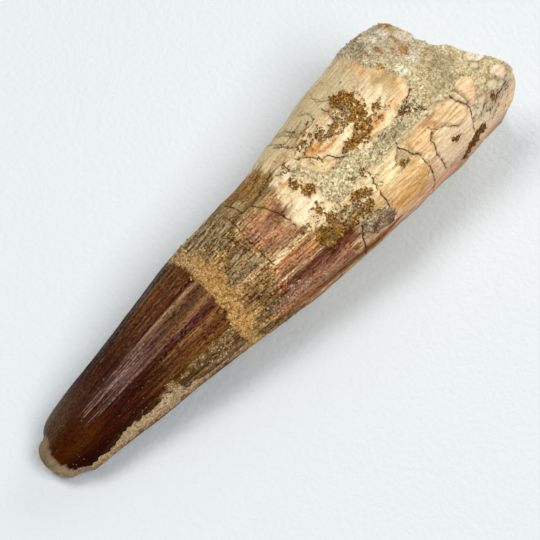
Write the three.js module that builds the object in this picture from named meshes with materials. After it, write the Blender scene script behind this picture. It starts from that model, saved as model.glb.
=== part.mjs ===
// Fossil tooth of a fish-eating dinosaur: a worn, fluted enamel crown, a mended break
// filled with sandy cement, a cracked ivory root and the sandstone still stuck to it.
// All of it is grown, cemented or glued into one solid, so it is one mesh.
// Millimetres, +Z up. The tooth lies along X with its tip at -X, and rests on Z = 0.
// A place on its skin is given by "along", in mm from the tip, and "turn", in degrees
// round the axis: 0 is the +Y side, 90 the top, 180 the -Y side and 270 the underside.

import * as THREE from 'three';
import { mergeVertices } from 'three/addons/utils/BufferGeometryUtils.js';

// ---- driving dimensions ----

const CROWN_LENGTH = 35.3; // tip to the mended break
const TIP_ROUNDING = 2.6; // length of the worn, rounded tip
const TOP_SQUARENESS = 2.2; // superellipse exponent of the cross-section's upper half
const UNDER_SQUARENESS = 2; // and of its lower half
const BELT_HEIGHT = 0.47; // height of the widest line, as a share of the section's height

const ENAMEL_THICKNESS = 0.6; // step down to the core along the flaked ledge
const TIP_STEP = 0.3; // the same step at the tip, worn almost flush
const FLUTES = 36; // lengthwise ridges round the crown
const FLUTE_HEIGHT = 0.24; // above and below the mean surface
const FLUTES_START = 5; // the tip is worn smooth up to here
const FLUTES_FULL = 17;
const FLUTES_END = 54; // past the crown they fade into the root

const BAND_WIDTH = 3.2; // the ring of sandy cement in the mended break
const BAND_HEIGHT = 0.25;

const SANDSTONE_HEIGHT = 0.5; // matrix that stands proud of the root
const CRACK_DEPTH = 0.5;
const CRACK_HALF_WIDTH = 0.75;

const DENTINE_WALL = 0.24; // thickness of the root's wall, as a share of its radius
const PULP_RECESS = 2.4; // depth of the sand fill below the broken rim
const BREAK_ROUGHNESS = 0.6;
const BREAK_DISHING = 1.7; // 1 would make the broken end a cone, more makes it a dish
const BREAK_CENTRE = new THREE.Vector3(90.8, 0.6, 10.5); // middle of the broken end

// ---- mesh density ----

const COLUMNS = 72; // two to a flute
const TIP_RINGS = 4;
const SIDE_RINGS = 48;
const END_RINGS = 10;
const FACE_SHARES = [0.88, 0.77, 0.71, 0.48, 0.24, 0]; // rings of the broken end, rim to centre
const END_ZONE = 78; // from here the rings follow the broken rim

// ---- the tooth's form ----

// Half-width on the +Y side, half-width on the -Y side, height of the top and height
// of the underside. Where the underside dips below zero it is worn flat.
const SECTIONS = [
  { along: 2.6, far: 3.9, near: 4.6, top: 5.6, under: 0.7 },
  { along: 5, far: 5.2, near: 5.8, top: 7.1, under: 0.5 },
  { along: 10, far: 6.0, near: 6.5, top: 9.2, under: 0.15 },
  { along: 18, far: 6.8, near: 7.7, top: 11.6, under: -0.05 },
  { along: 28, far: 8.2, near: 8.8, top: 14.2, under: 0.0 },
  { along: 36, far: 9.2, near: 9.9, top: 15.8, under: 0.4 },
  { along: 50, far: 9.7, near: 11.8, top: 17.8, under: 0.9 },
  { along: 60, far: 11.0, near: 12.6, top: 19.4, under: 0.5 },
  { along: 70, far: 12.6, near: 12.9, top: 20.9, under: -0.25 },
  { along: 80, far: 14.2, near: 13.1, top: 22.2, under: -0.35 },
  { along: 88, far: 14.8, near: 12.9, top: 22.6, under: 0.0 },
  { along: 98, far: 14.2, near: 12.4, top: 22.2, under: 1.2 },
];

// Where the enamel starts behind the worn tip.
const ENAMEL_START = [
  [0, 3.0], [45, 2.9], [70, 2.1], [92, 1.3], [122, 1.6], [150, 2.8], [180, 4.2], [230, 3.4], [300, 2.6],
];

// The bare ledge along the -Y side, where the enamel has flaked off the core:
// the turn of its upper and of its lower edge.
const LEDGE_EDGES = [
  { along: 2.6, upper: 150, lower: 196 },
  { along: 5.5, upper: 160, lower: 192 },
  { along: 9.5, upper: 161, lower: 190 },
  { along: 11.5, upper: 153, lower: 193 },
  { along: 18, upper: 152, lower: 190 },
  { along: 21, upper: 143, lower: 194 },
  { along: 24, upper: 157, lower: 191 },
  { along: 30, upper: 147, lower: 195 },
  { along: 35.3, upper: 155, lower: 192 },
];

// The broken rim of the root.
const BROKEN_RIM = [
  [0, 80.2], [28, 80.8], [43, 85.8], [62, 86.8], [84, 87], [94, 89.2], [110, 91.8], [127, 94.5],
  [146, 95], [165, 93.4], [190, 94.4], [215, 96.6], [250, 98], [285, 97], [315, 91], [342, 83],
];

// Rough iron-stained crusts on the root.
const CRUSTS = [
  { along: 71.2, turn: 66, long: 2.0, wide: 9, high: 0.9 },
  { along: 73.0, turn: 72, long: 1.5, wide: 6, high: 0.7 },
  { along: 67.0, turn: 79, long: 3.4, wide: 5, high: 0.8 },
  { along: 71.6, turn: 83, long: 2.4, wide: 7, high: 1.0 },
  { along: 68.6, turn: 94, long: 3.4, wide: 6, high: 1.1 },
  { along: 62.4, turn: 64, long: 2.2, wide: 6, high: 0.5 },
  { along: 62.8, turn: 80, long: 1.6, wide: 6, high: 0.5 },
  { along: 56.0, turn: 85, long: 1.2, wide: 5, high: 0.7 },
  { along: 56.4, turn: 94, long: 1.2, wide: 4, high: 0.7 },
  { along: 56.0, turn: 110, long: 1.2, wide: 5, high: 0.7 },
  { along: 55.0, turn: 127, long: 2.4, wide: 5, high: 0.7 },
  { along: 59.4, turn: 135, long: 4.6, wide: 4, high: 0.9 },
  { along: 61.8, turn: 122, long: 2.6, wide: 5, high: 0.7 },
  { along: 80.5, turn: 147, long: 1.4, wide: 4, high: 0.4 },
  { along: 84.8, turn: 161, long: 2.2, wide: 6, high: 0.8 },
  { along: 82.4, turn: 172, long: 1.8, wide: 8, high: 0.8 },
  { along: 89.8, turn: 147, long: 1.0, wide: 5, high: 0.4 },
  { along: 66.0, turn: 232, long: 3.4, wide: 9, high: 0.6 },
  { along: 58.0, turn: 330, long: 3.0, wide: 8, high: 0.6 },
];

// Sandstone matrix on the root: the middle of each patch and its half sizes.
const SANDSTONE = [
  { along: 61.6, turn: 103, long: 4.2, wide: 14 },
  { along: 72.5, turn: 111, long: 9.0, wide: 7 },
  { along: 86.5, turn: 74, long: 8.2, wide: 42 },
  { along: 86.5, turn: 106, long: 7.0, wide: 14 },
  { along: 90.5, turn: 126, long: 3.0, wide: 12 },
  { along: 62.0, turn: 156, long: 3.0, wide: 10 },
  { along: 88.5, turn: 12, long: 9.0, wide: 22 },
  { along: 79.0, turn: 215, long: 5.0, wide: 14 },
];

// Cracks, each a line of [along, turn] points.
const CRACKS = [
  [[60, 72], [62, 88], [64.2, 97]],
  [[62, 30], [62.5, 50], [61, 62]],
  [[63.2, 40], [63.6, 55], [66, 60]],
  [[49.3, 68], [50.3, 84], [51.6, 98]],
  [[58.6, 142], [59.2, 152], [58.9, 168]],
  [[65.7, 118], [65.1, 130], [65.2, 148]],
  [[72.2, 119], [73.2, 132], [74.6, 148], [74.6, 168], [73.6, 200]],
  [[77.2, 132], [76.4, 148], [77, 164]],
  [[83.6, 118], [85.3, 134], [84.8, 155]],
  [[68.5, 250], [70, 280], [67.5, 318], [69.5, 355]],
  [[47, 205], [48.6, 240], [46.8, 290], [48, 335]],
];

// ---- small helpers ----

// 0 at one value, 1 at the other and a smooth S between. Either value may be the larger.
function smoothRise(from, to, value) {
  const share = THREE.MathUtils.clamp((value - from) / (to - from), 0, 1);
  return THREE.MathUtils.smoothstep(share, 0, 1);
}

// Shortest way from one turn to another, in degrees, from -180 to 180.
function turnBetween(from, to) {
  return THREE.MathUtils.euclideanModulo(to - from + 180, 360) - 180;
}

// A smooth curve through the values that a list of stations gives to some keys.
function curveThrough(stations, position, keys) {
  const positions = stations.map((station) => station[position]);
  const values = stations.flatMap((station) => keys.map((key) => station[key]));
  const curve = new THREE.CubicInterpolant(positions, values, keys.length);
  const first = positions[0];
  const last = positions[positions.length - 1];
  return (at) => [...curve.evaluate(THREE.MathUtils.clamp(at, first, last))];
}

// The same for a closed list of [turn, value] pairs.
function curveRound(pairs) {
  const before = pairs.slice(-2).map(([turn, value]) => [turn - 360, value]);
  const after = pairs.slice(0, 3).map(([turn, value]) => [turn + 360, value]);
  const curve = curveThrough([...before, ...pairs, ...after], 0, [1]);
  return (turn) => curve(THREE.MathUtils.euclideanModulo(turn, 360))[0];
}

const sectionAt = curveThrough(SECTIONS, 'along', ['far', 'near', 'top', 'under']);
const ledgeAt = curveThrough(LEDGE_EDGES, 'along', ['upper', 'lower']);
const enamelStartAt = curveRound(ENAMEL_START);
const rimAt = curveRound(BROKEN_RIM);

// Millimetres on the skin for one degree of turn.
function skinPerDegree(along) {
  const [far, near, top] = sectionAt(along);
  return THREE.MathUtils.degToRad((far + near + top) / 4);
}

// ---- the smooth form, before any relief ----

function formPoint(along, turn, grow) {
  const [far, near, top, under] = sectionAt(along);
  const cosine = Math.cos(THREE.MathUtils.degToRad(turn));
  const sine = Math.sin(THREE.MathUtils.degToRad(turn));
  const power = 2 / (sine > 0 ? TOP_SQUARENESS : UNDER_SQUARENESS);
  const belt = top * BELT_HEIGHT;
  const width = (cosine > 0 ? far : near) + grow;
  const height = (sine > 0 ? top - belt : belt - under) + grow;
  const y = width * Math.sign(cosine) * Math.abs(cosine) ** power;
  const z = belt + height * Math.sign(sine) * Math.abs(sine) ** power;
  return new THREE.Vector3(along, y, z);
}

// ---- relief, in mm outwards ----

// How bare a place is: 1 where the enamel has gone, 0 where it is whole.
function bareTip(along, turn) {
  return smoothRise(0.5, -0.3, along - enamelStartAt(turn));
}

function bareLedge(along, turn) {
  const [upper, lower] = ledgeAt(along);
  const belowUpper = smoothRise(-2, 2, turn - upper);
  const aboveLower = smoothRise(-2, 2, lower - turn);
  const beforeBand = smoothRise(0, 1, CROWN_LENGTH - along);
  return belowUpper * aboveLower * beforeBand;
}

function flutingRelief(along, turn) {
  const grown = smoothRise(FLUTES_START, FLUTES_FULL, along);
  const kept = smoothRise(FLUTES_END, CROWN_LENGTH, along);
  return FLUTE_HEIGHT * grown * kept * Math.cos(THREE.MathUtils.degToRad(FLUTES * turn));
}

function enamelRelief(along, turn) {
  const tip = bareTip(along, turn);
  const ledge = bareLedge(along, turn);
  const fluting = flutingRelief(along, turn) * (1 - Math.max(tip, ledge));
  return fluting - TIP_STEP * tip - ENAMEL_THICKNESS * ledge;
}

// The cement stands up between the crown and the root, and is uneven along its edges.
function bandRelief(along, turn) {
  const wander = 0.5 * Math.sin(THREE.MathUtils.degToRad(3 * turn + 40));
  const middle = CROWN_LENGTH + BAND_WIDTH / 2 + wander;
  const closeness = smoothRise(BAND_WIDTH / 2 + 0.8, BAND_WIDTH / 2 - 0.5, Math.abs(along - middle));
  const uneven = 1 + 0.4 * Math.sin(THREE.MathUtils.degToRad(11 * turn));
  return closeness * BAND_HEIGHT * uneven;
}

// 1 in the middle of a patch, 0 outside it.
function patchCover(patch, along, turn, softness) {
  const across = (along - patch.along) / patch.long;
  const round = turnBetween(patch.turn, turn) / patch.wide;
  return smoothRise(1 + softness, 1 - softness, Math.hypot(across, round));
}

function crustRelief(along, turn) {
  const heights = CRUSTS.map((crust) => crust.high * patchCover(crust, along, turn, 0.45));
  return Math.max(...heights);
}

function sandstoneRelief(along, turn) {
  const covers = SANDSTONE.map((patch) => patchCover(patch, along, turn, 0.15));
  const lumps = Math.sin(along * 1.9) * Math.sin(THREE.MathUtils.degToRad(turn * 9));
  return Math.max(...covers) * SANDSTONE_HEIGHT * (1 + 0.35 * lumps);
}

function distanceToCrack(crack, along, turn) {
  const perDegree = skinPerDegree(along);
  const place = new THREE.Vector3(0, 0, 0);
  const nearest = new THREE.Vector3();
  const distances = crack.slice(1).map((end, index) => {
    const start = crack[index];
    const from = new THREE.Vector3(start[0] - along, turnBetween(turn, start[1]) * perDegree, 0);
    const to = new THREE.Vector3(end[0] - along, turnBetween(turn, end[1]) * perDegree, 0);
    new THREE.Line3(from, to).closestPointToPoint(place, true, nearest);
    return nearest.length();
  });
  return Math.min(...distances);
}

function crackRelief(along, turn) {
  const nearest = Math.min(...CRACKS.map((crack) => distanceToCrack(crack, along, turn)));
  return -CRACK_DEPTH * smoothRise(2 * CRACK_HALF_WIDTH, 0, nearest);
}

// Long shallow swellings of the root, as it grew.
function growthRelief(along, turn) {
  const onRoot = smoothRise(CROWN_LENGTH, 50, along);
  const radians = THREE.MathUtils.degToRad(turn);
  const swelling = 0.16 * Math.sin(5 * radians + 0.09 * along) + 0.12 * Math.sin(9 * radians - 0.21 * along);
  return onRoot * (swelling + 0.1 * Math.sin(0.55 * along + 2 * radians));
}

function reliefAt(along, turn) {
  const crown = enamelRelief(along, turn) + bandRelief(along, turn);
  const growths = Math.max(crustRelief(along, turn), sandstoneRelief(along, turn));
  return crown + growthRelief(along, turn) + growths + crackRelief(along, turn);
}

// A place on the finished skin. What would reach below the ground is worn flat.
function skinPoint(along, turn) {
  const point = formPoint(along, turn, reliefAt(along, turn));
  point.z = Math.max(point.z, 0);
  return point;
}

// The worn tip: rings of the first section shrink towards a rounded nose.
function tipPoint(share, turn) {
  const angle = share * Math.PI / 2;
  const [, , top] = sectionAt(TIP_ROUNDING);
  const rim = skinPoint(TIP_ROUNDING, turn);
  const nose = new THREE.Vector3(0, 0, top * 0.6);
  const along = TIP_ROUNDING * (1 - Math.cos(angle));
  const point = nose.lerp(rim, Math.sin(angle));
  point.x = along;
  return point;
}

// The broken end: a rim of dentine round the recessed sand fill.
function breakPoint(share, turn) {
  const rim = skinPoint(rimAt(turn), turn);
  const point = BREAK_CENTRE.clone().lerp(rim, share);
  point.x = THREE.MathUtils.lerp(BREAK_CENTRE.x, rim.x, share ** BREAK_DISHING);
  const inside = smoothRise(1 - DENTINE_WALL, 0.95 - DENTINE_WALL, share);
  const rough = Math.sin(1.1 * point.y + 0.4 * point.z) * Math.sin(0.9 * point.z - 0.5 * point.y);
  point.x += BREAK_ROUGHNESS * rough - PULP_RECESS * inside;
  return point;
}

// ---- the mesh ----

// Each ring of the mesh, tip to centre of the break, as a function of the turn.
function listRings() {
  const rings = [];
  for (let ring = 0; ring < TIP_RINGS; ring += 1) {
    rings.push((turn) => tipPoint(ring / TIP_RINGS, turn));
  }
  for (let ring = 0; ring < SIDE_RINGS; ring += 1) {
    const along = THREE.MathUtils.mapLinear(ring, 0, SIDE_RINGS, TIP_ROUNDING, END_ZONE);
    rings.push((turn) => skinPoint(along, turn));
  }
  for (let ring = 0; ring <= END_RINGS; ring += 1) {
    rings.push((turn) => skinPoint(THREE.MathUtils.lerp(END_ZONE, rimAt(turn), ring / END_RINGS), turn));
  }
  FACE_SHARES.forEach((share) => rings.push((turn) => breakPoint(share, turn)));
  return rings;
}

// A sphere's rings and columns give one closed body. Its poles become the tip and the
// middle of the break.
function makeToothGeometry() {
  const rings = listRings();
  const geometry = new THREE.SphereGeometry(1, COLUMNS, rings.length - 1);
  const position = geometry.getAttribute('position');
  for (let vertex = 0; vertex < position.count; vertex += 1) {
    const ring = Math.floor(vertex / (COLUMNS + 1));
    const column = vertex % (COLUMNS + 1);
    const turn = 360 * (1 - (column % COLUMNS) / COLUMNS);
    const point = rings[ring](turn);
    position.setXYZ(vertex, point.x, point.y, point.z);
  }
  geometry.deleteAttribute('normal');
  geometry.deleteAttribute('uv');
  const closed = mergeVertices(geometry, 1e-4);
  closed.computeVertexNormals();
  return closed;
}

// The origin is at the middle of the bounding box's underside.
function centreOnGround(geometry) {
  geometry.computeBoundingBox();
  const middle = geometry.boundingBox.getCenter(new THREE.Vector3());
  geometry.translate(-middle.x, -middle.y, -geometry.boundingBox.min.z);
  return geometry;
}

function makeTooth() {
  const fossil = new THREE.MeshStandardMaterial({ color: '#a87f52', roughness: 0.55, metalness: 0 });
  const tooth = new THREE.Mesh(centreOnGround(makeToothGeometry()), fossil);
  tooth.name = 'tooth';
  return tooth;
}

const fossilTooth = new THREE.Group();
fossilTooth.add(makeTooth());

export default fossilTooth;
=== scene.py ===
import bpy
import math
import numpy as np
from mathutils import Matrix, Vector, noise


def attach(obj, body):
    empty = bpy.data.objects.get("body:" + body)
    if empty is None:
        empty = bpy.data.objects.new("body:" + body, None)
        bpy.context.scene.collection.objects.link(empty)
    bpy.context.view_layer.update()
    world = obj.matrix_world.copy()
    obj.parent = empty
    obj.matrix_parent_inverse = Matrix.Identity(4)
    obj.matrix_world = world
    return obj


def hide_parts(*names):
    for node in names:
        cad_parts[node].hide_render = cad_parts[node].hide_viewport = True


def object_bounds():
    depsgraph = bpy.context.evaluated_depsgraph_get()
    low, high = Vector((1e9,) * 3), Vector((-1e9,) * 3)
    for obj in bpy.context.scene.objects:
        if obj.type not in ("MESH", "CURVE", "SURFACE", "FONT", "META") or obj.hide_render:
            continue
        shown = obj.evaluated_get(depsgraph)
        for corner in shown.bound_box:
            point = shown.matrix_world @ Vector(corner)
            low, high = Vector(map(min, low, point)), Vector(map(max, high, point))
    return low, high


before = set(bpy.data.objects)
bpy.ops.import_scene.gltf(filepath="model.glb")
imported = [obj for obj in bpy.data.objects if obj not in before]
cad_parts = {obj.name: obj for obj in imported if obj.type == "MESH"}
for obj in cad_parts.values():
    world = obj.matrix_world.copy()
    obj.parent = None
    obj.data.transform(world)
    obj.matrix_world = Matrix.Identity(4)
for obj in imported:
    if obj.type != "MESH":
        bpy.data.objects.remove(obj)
cadLow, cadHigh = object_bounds()
print("frame loaded")

# A place on the tooth is given by "along", in mm from the tip, and "turn", in degrees
# round it: 0 is the +Y side, 90 the top, 180 the -Y side and 270 the underside.


def linearColour(hexText):
    # "#rrggbb" as seen on a screen, turned into the linear values that materials use
    channels = [int(hexText[start:start + 2], 16) / 255 for start in (1, 3, 5)]
    return np.array([c / 12.92 if c <= 0.04045 else ((c + 0.055) / 1.055) ** 2.4 for c in channels])


def addObject(name, operator, **settings):
    # runs one of the operators that make an object, and leaves only that one selected
    bpy.ops.object.select_all(action="DESELECT")
    operator(**settings)
    made = bpy.context.object
    made.name = name
    return made


def readVertices(mesh, what):
    values = np.empty(len(mesh.vertices) * 3)
    mesh.vertices.foreach_get(what, values)
    return values.reshape(-1, 3)


def writeTint(mesh, colours):
    tint = mesh.attributes.new("tint", "FLOAT_COLOR", "POINT")
    tint.data.foreach_set("color", np.column_stack([colours, np.ones(len(colours))]).ravel())


class Wire:
    # one socket of a material; sums and products of wires add Math nodes

    def __init__(self, nodes, socket):
        self.nodes = nodes
        self.socket = socket

    def maths(self, operation, *values):
        return self.nodes.add("ShaderNodeMath", {"operation": operation}, dict(enumerate(values)))

    def __add__(self, other):
        return self.maths("ADD", self, other)

    def __radd__(self, other):
        return self.maths("ADD", other, self)

    def __sub__(self, other):
        return self.maths("SUBTRACT", self, other)

    def __rsub__(self, other):
        return self.maths("SUBTRACT", other, self)

    def __mul__(self, other):
        return self.maths("MULTIPLY", self, other)

    def __rmul__(self, other):
        return self.maths("MULTIPLY", other, self)

    def __pow__(self, other):
        return self.maths("POWER", self, other)

    def __abs__(self):
        return self.maths("ABSOLUTE", self)

    def atLeast(self, least):
        return self.maths("MAXIMUM", self, least)

    def between(self, low, high):
        # 0 below low, 1 above high; low may be the larger
        limits = {"Value": self, "From Min": low, "From Max": high}
        return self.nodes.add("ShaderNodeMapRange", {"interpolation_type": "SMOOTHSTEP"}, limits)


class MaterialNodes:
    # builds one material's nodes

    def __init__(self, name):
        self.material = bpy.data.materials.new(name)
        self.material.use_nodes = True
        self.tree = self.material.node_tree
        self.shader = self.tree.nodes["Principled BSDF"]

    def add(self, kind, settings=None, inputs=None, output=0):
        node = self.tree.nodes.new(kind)
        for name, value in (settings or {}).items():
            if name == "stops":
                self.setStops(node.color_ramp, value)
            else:
                setattr(node, name, value)
        for name, value in (inputs or {}).items():
            self.feed(node.inputs[name], value)
        return Wire(self, node.outputs[output])

    def feed(self, socket, value):
        if isinstance(value, Wire):
            self.tree.links.new(value.socket, socket)
        elif isinstance(value, str):
            socket.default_value = (*linearColour(value), 1)
        else:
            socket.default_value = value

    def setStops(self, ramp, stops):
        while len(ramp.elements) < len(stops):
            ramp.elements.new(0.5)
        for element, (place, colour) in zip(ramp.elements, stops):
            element.position = place
            element.color = (*linearColour(colour), 1)

    def painted(self, name, output="Fac"):
        return self.add("ShaderNodeAttribute", {"attribute_name": name}, output=output)

    def millimetres(self):
        return self.stretch(self.add("ShaderNodeTexCoord", output="Object"), (1000, 1000, 1000))

    def stretch(self, vector, scale):
        return self.add("ShaderNodeVectorMath", {"operation": "MULTIPLY"}, {0: vector, 1: scale})

    def mix(self, share, first, second, how="MIX"):
        settings = {"data_type": "RGBA", "blend_type": how}
        return self.add("ShaderNodeMix", settings, {0: share, 6: first, 7: second}, output=2)

    def toned(self, colour, red, green, blue):
        # each channel of a colour made lighter or darker
        tones = self.add("ShaderNodeCombineColor", {}, {0: red, 1: green, 2: blue})
        return self.mix(1.0, colour, tones, "MULTIPLY")

    def mottle(self, vector, scale, detail=3.0, roughness=0.55):
        inputs = {"Vector": vector, "Scale": scale, "Detail": detail, "Roughness": roughness}
        return self.add("ShaderNodeTexNoise", {}, inputs)

    def grainTone(self, vector, scale):
        # grains side by side, each with a tone of its own
        inputs = {"Vector": vector, "Scale": scale}
        grains = self.add("ShaderNodeTexVoronoi", {}, inputs, output="Color")
        return self.add("ShaderNodeSeparateColor", {}, {"Color": grains})

    def dots(self, vector, scale, rim, core):
        # scattered round dots that fade out from core to rim
        inputs = {"Vector": vector, "Scale": scale}
        grains = self.add("ShaderNodeTexVoronoi", {}, inputs, output="Distance")
        return grains.between(rim, core)

    def bump(self, strength, height, distance=0.001):
        inputs = {"Strength": strength, "Distance": distance, "Height": height}
        return self.add("ShaderNodeBump", {}, inputs)

    def finish(self, **inputs):
        for name, value in inputs.items():
            self.feed(self.shader.inputs[name.replace("_", " ")], value)
        return self.material


def rise(start, end, value):
    # 0 at start, 1 at end and a smooth S between; start may be the larger
    share = np.clip((value - start) / (end - start), 0, 1)
    return share * share * (3 - 2 * share)


def within(value, start, full, fade, end):
    # 1 from full to fade, falling to 0 at start and at end
    return rise(start, full, value) * rise(end, fade, value)


def lineAt(distance, width):
    # 1 where the distance is 0, and soon 0 beyond the width
    return np.exp(-(distance / width) ** 2)


def turnGap(first, second):
    return (second - first + 180) % 360 - 180


def curveThrough(places, values, at):
    # a smooth curve through given stations
    places, values = np.array(places, float), np.array(values, float)
    slopes = np.gradient(values, places)
    slopes[1:-1] = (values[2:] - values[:-2]) / (places[2:] - places[:-2])
    at = np.clip(at, places[0], places[-1])
    left = np.clip(np.searchsorted(places, at, side="right") - 1, 0, len(places) - 2)
    gap = places[left + 1] - places[left]
    t = (at - places[left]) / gap
    near = (2 * t**3 - 3 * t**2 + 1) * values[left] + (t**3 - 2 * t**2 + t) * gap * slopes[left]
    far = (3 * t**2 - 2 * t**3) * values[left + 1] + (t**3 - t**2) * gap * slopes[left + 1]
    return near + far


def curveRound(pairs, turn):
    # the same for a closed list of (turn, value)
    before = [(place - 360, value) for place, value in pairs[-2:]]
    after = [(place + 360, value) for place, value in pairs[:3]]
    places, values = zip(*before, *pairs, *after)
    return curveThrough(places, values, turn % 360)


toothShape = {
    "columns": 288,
    "rings": 340,
    "tipRings": 8,
    "endRings": 45,
    "faceRings": 24,
    "length": 98.064,        # mm, tip to broken root; the frame's own length sets the scale
    "sideways": 0.443,       # mm from the middle of the box to the tooth's axis
    "tipRounding": 2.6,
    "noseHeight": 0.6,       # of the height where the rounding starts
    "endZone": 78.0,         # from here the rings crowd towards the broken rim
    "squareTop": 2.2,        # 2 is a true ellipse, more is squarer
    "squareUnder": 2.0,
    "belt": 0.47,            # the height of the widest place, as a share of the top's
    "along": [2.6, 5, 10, 18, 28, 36, 50, 60, 70, 80, 88, 98],
    "far": [3.9, 5.2, 6.0, 6.8, 8.2, 9.2, 9.7, 11.0, 12.6, 14.2, 14.8, 14.2],
    "near": [4.6, 5.8, 6.5, 7.7, 8.8, 9.9, 11.8, 12.6, 12.9, 13.1, 12.8, 12.2],
    "top": [5.6, 7.1, 9.2, 11.6, 14.2, 15.8, 17.8, 19.4, 20.9, 22.2, 22.6, 22.2],
    "under": [0.7, 0.5, 0.15, -0.05, 0.0, 0.4, 0.9, 0.5, -0.25, -0.35, 0.0, 1.2],
    "brokenRim": [(0, 80.2), (28, 80.8), (43, 85.8), (62, 86.8), (84, 87), (94, 89.2), (110, 91.8),
        (127, 94.5), (140, 95.2), (152, 95.3), (163, 94.5), (174, 93), (190, 91.8), (212, 94),
        (250, 98), (285, 97), (315, 91), (342, 83)],
    "breakCentre": (90.8, 0.6, 10.5),
    "breakDishing": 1.7,
    "breakRoughness": 0.6,
    "breakGrit": (0.18, 0.22),       # mm on the wall, and more on the filling
    "dentineWall": 0.24,             # share of the way in from the rim
    "wallWaver": 0.03,
    "pulpRecess": 2.4,
}

crown = {
    "length": 35.3,
    "enamelStart": [(0, 3.4), (30, 3.1), (50, 3.0), (62, 2.5), (70, 2.1), (78, 1.8), (86, 1.5),
        (96, 1.3), (110, 1.4), (122, 1.55), (132, 1.8), (143, 2.2), (150, 2.7), (156, 3.6),
        (165, 4.6), (180, 5.0), (230, 4.0), (300, 3.6)],
    "enamelThickness": 0.6,
    "tipStep": 0.3,
    "tipEdge": 0.12,
    "tipJag": 0.18,
    "ledgeAlong": [2.6, 5, 7, 9, 10.3, 11.2, 12, 14, 17, 19.3, 20.5, 22.4, 23, 26, 30, 35.3],
    "ledgeUpper": [152, 157, 158, 161, 157, 152, 153, 151, 152, 148, 146, 152, 162, 170, 172, 174],
    "ledgeLower": [190, 187, 186, 187, 185, 187, 186, 188, 186, 187, 186, 188, 186, 187, 188, 187],
    "ledgeEdge": 0.8,        # degrees over which it starts
    "ledgeJag": {"lump": 3.5, "fine": 4.0},
    # ridges on the side that shows: (turn, height in mm)
    "ridges": [(28, 0.14), (37, 0.2), (46.5, 0.16), (53, 0.2), (59.5, 0.12), (66, 0.22),
        (70.5, 0.14), (76, 0.10), (82, 0.26), (86, 0.12), (90.5, 0.28), (97, 0.18), (101.5, 0.28),
        (107, 0.12), (113, 0.22), (118, 0.2), (124.5, 0.18), (130, 0.2), (137, 0.15), (144, 0.13),
        (151, 0.12)],
    "hiddenRidges": 20,
    "hiddenHeight": 0.2,
    "hiddenFrom": 161,
    "hiddenSpan": 218,
    "ridgeWidth": 2.2,       # degrees
    "flutesAlong": (4, 15, 39.3, 52),        # they start, stand full, fade and end
}

band = {
    "start": [(0, 35.2), (60, 35.1), (100, 34.8), (115, 34.5), (135, 34.3), (150, 34.4),
        (172, 34.8), (240, 35.4)],
    "end": [(0, 38.6), (40, 38.4), (90, 38.4), (106, 38.0), (118, 37.5), (130, 37.0), (145, 38.0),
        (158, 36.9), (175, 36.8), (260, 38.6)],
    "startJag": {"fine": 0.45, "lump": 0.4, "streak": 0.3},
    "endJag": {"fine": 0.9, "lump": 0.9, "streak": 0.6},
    "startEdge": 0.15,
    "endEdge": 0.3,
}

# small crusts, as spots: (along, turn, half length in mm, half width in degrees)
crusts = [
    (57.8, 66, 0.5, 1.3), (61.6, 65, 0.9, 1.5), (62.6, 68, 0.6, 1.2), (63.6, 62.5, 0.6, 1.6),
    (64.0, 67, 0.6, 1.4), (65.9, 67.5, 0.5, 1.2), (64.8, 72.4, 0.6, 1.3), (63.2, 73, 0.5, 1.2),
    (65.6, 57, 0.4, 1), (62.0, 121, 0.7, 1.4), (58.2, 124, 1.5, 1.6), (60.4, 129, 1.2, 1.4),
    (74.0, 90, 0.8, 2.0), (74.2, 56, 0.4, 1), (72.9, 92.5, 0.5, 1.2), (71.4, 106, 0.5, 0.9),
    (70.5, 103.6, 0.5, 0.8), (76.6, 107.6, 0.5, 1.2), (77.6, 109.5, 0.5, 1.0),
    (63.0, 112, 0.4, 1.0), (66.0, 232, 3.0, 8), (61.0, 226, 1.8, 5), (58.0, 330, 2.6, 7),
    (73.0, 300, 2.0, 6), (82.0, 250, 1.6, 5),
]
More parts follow.
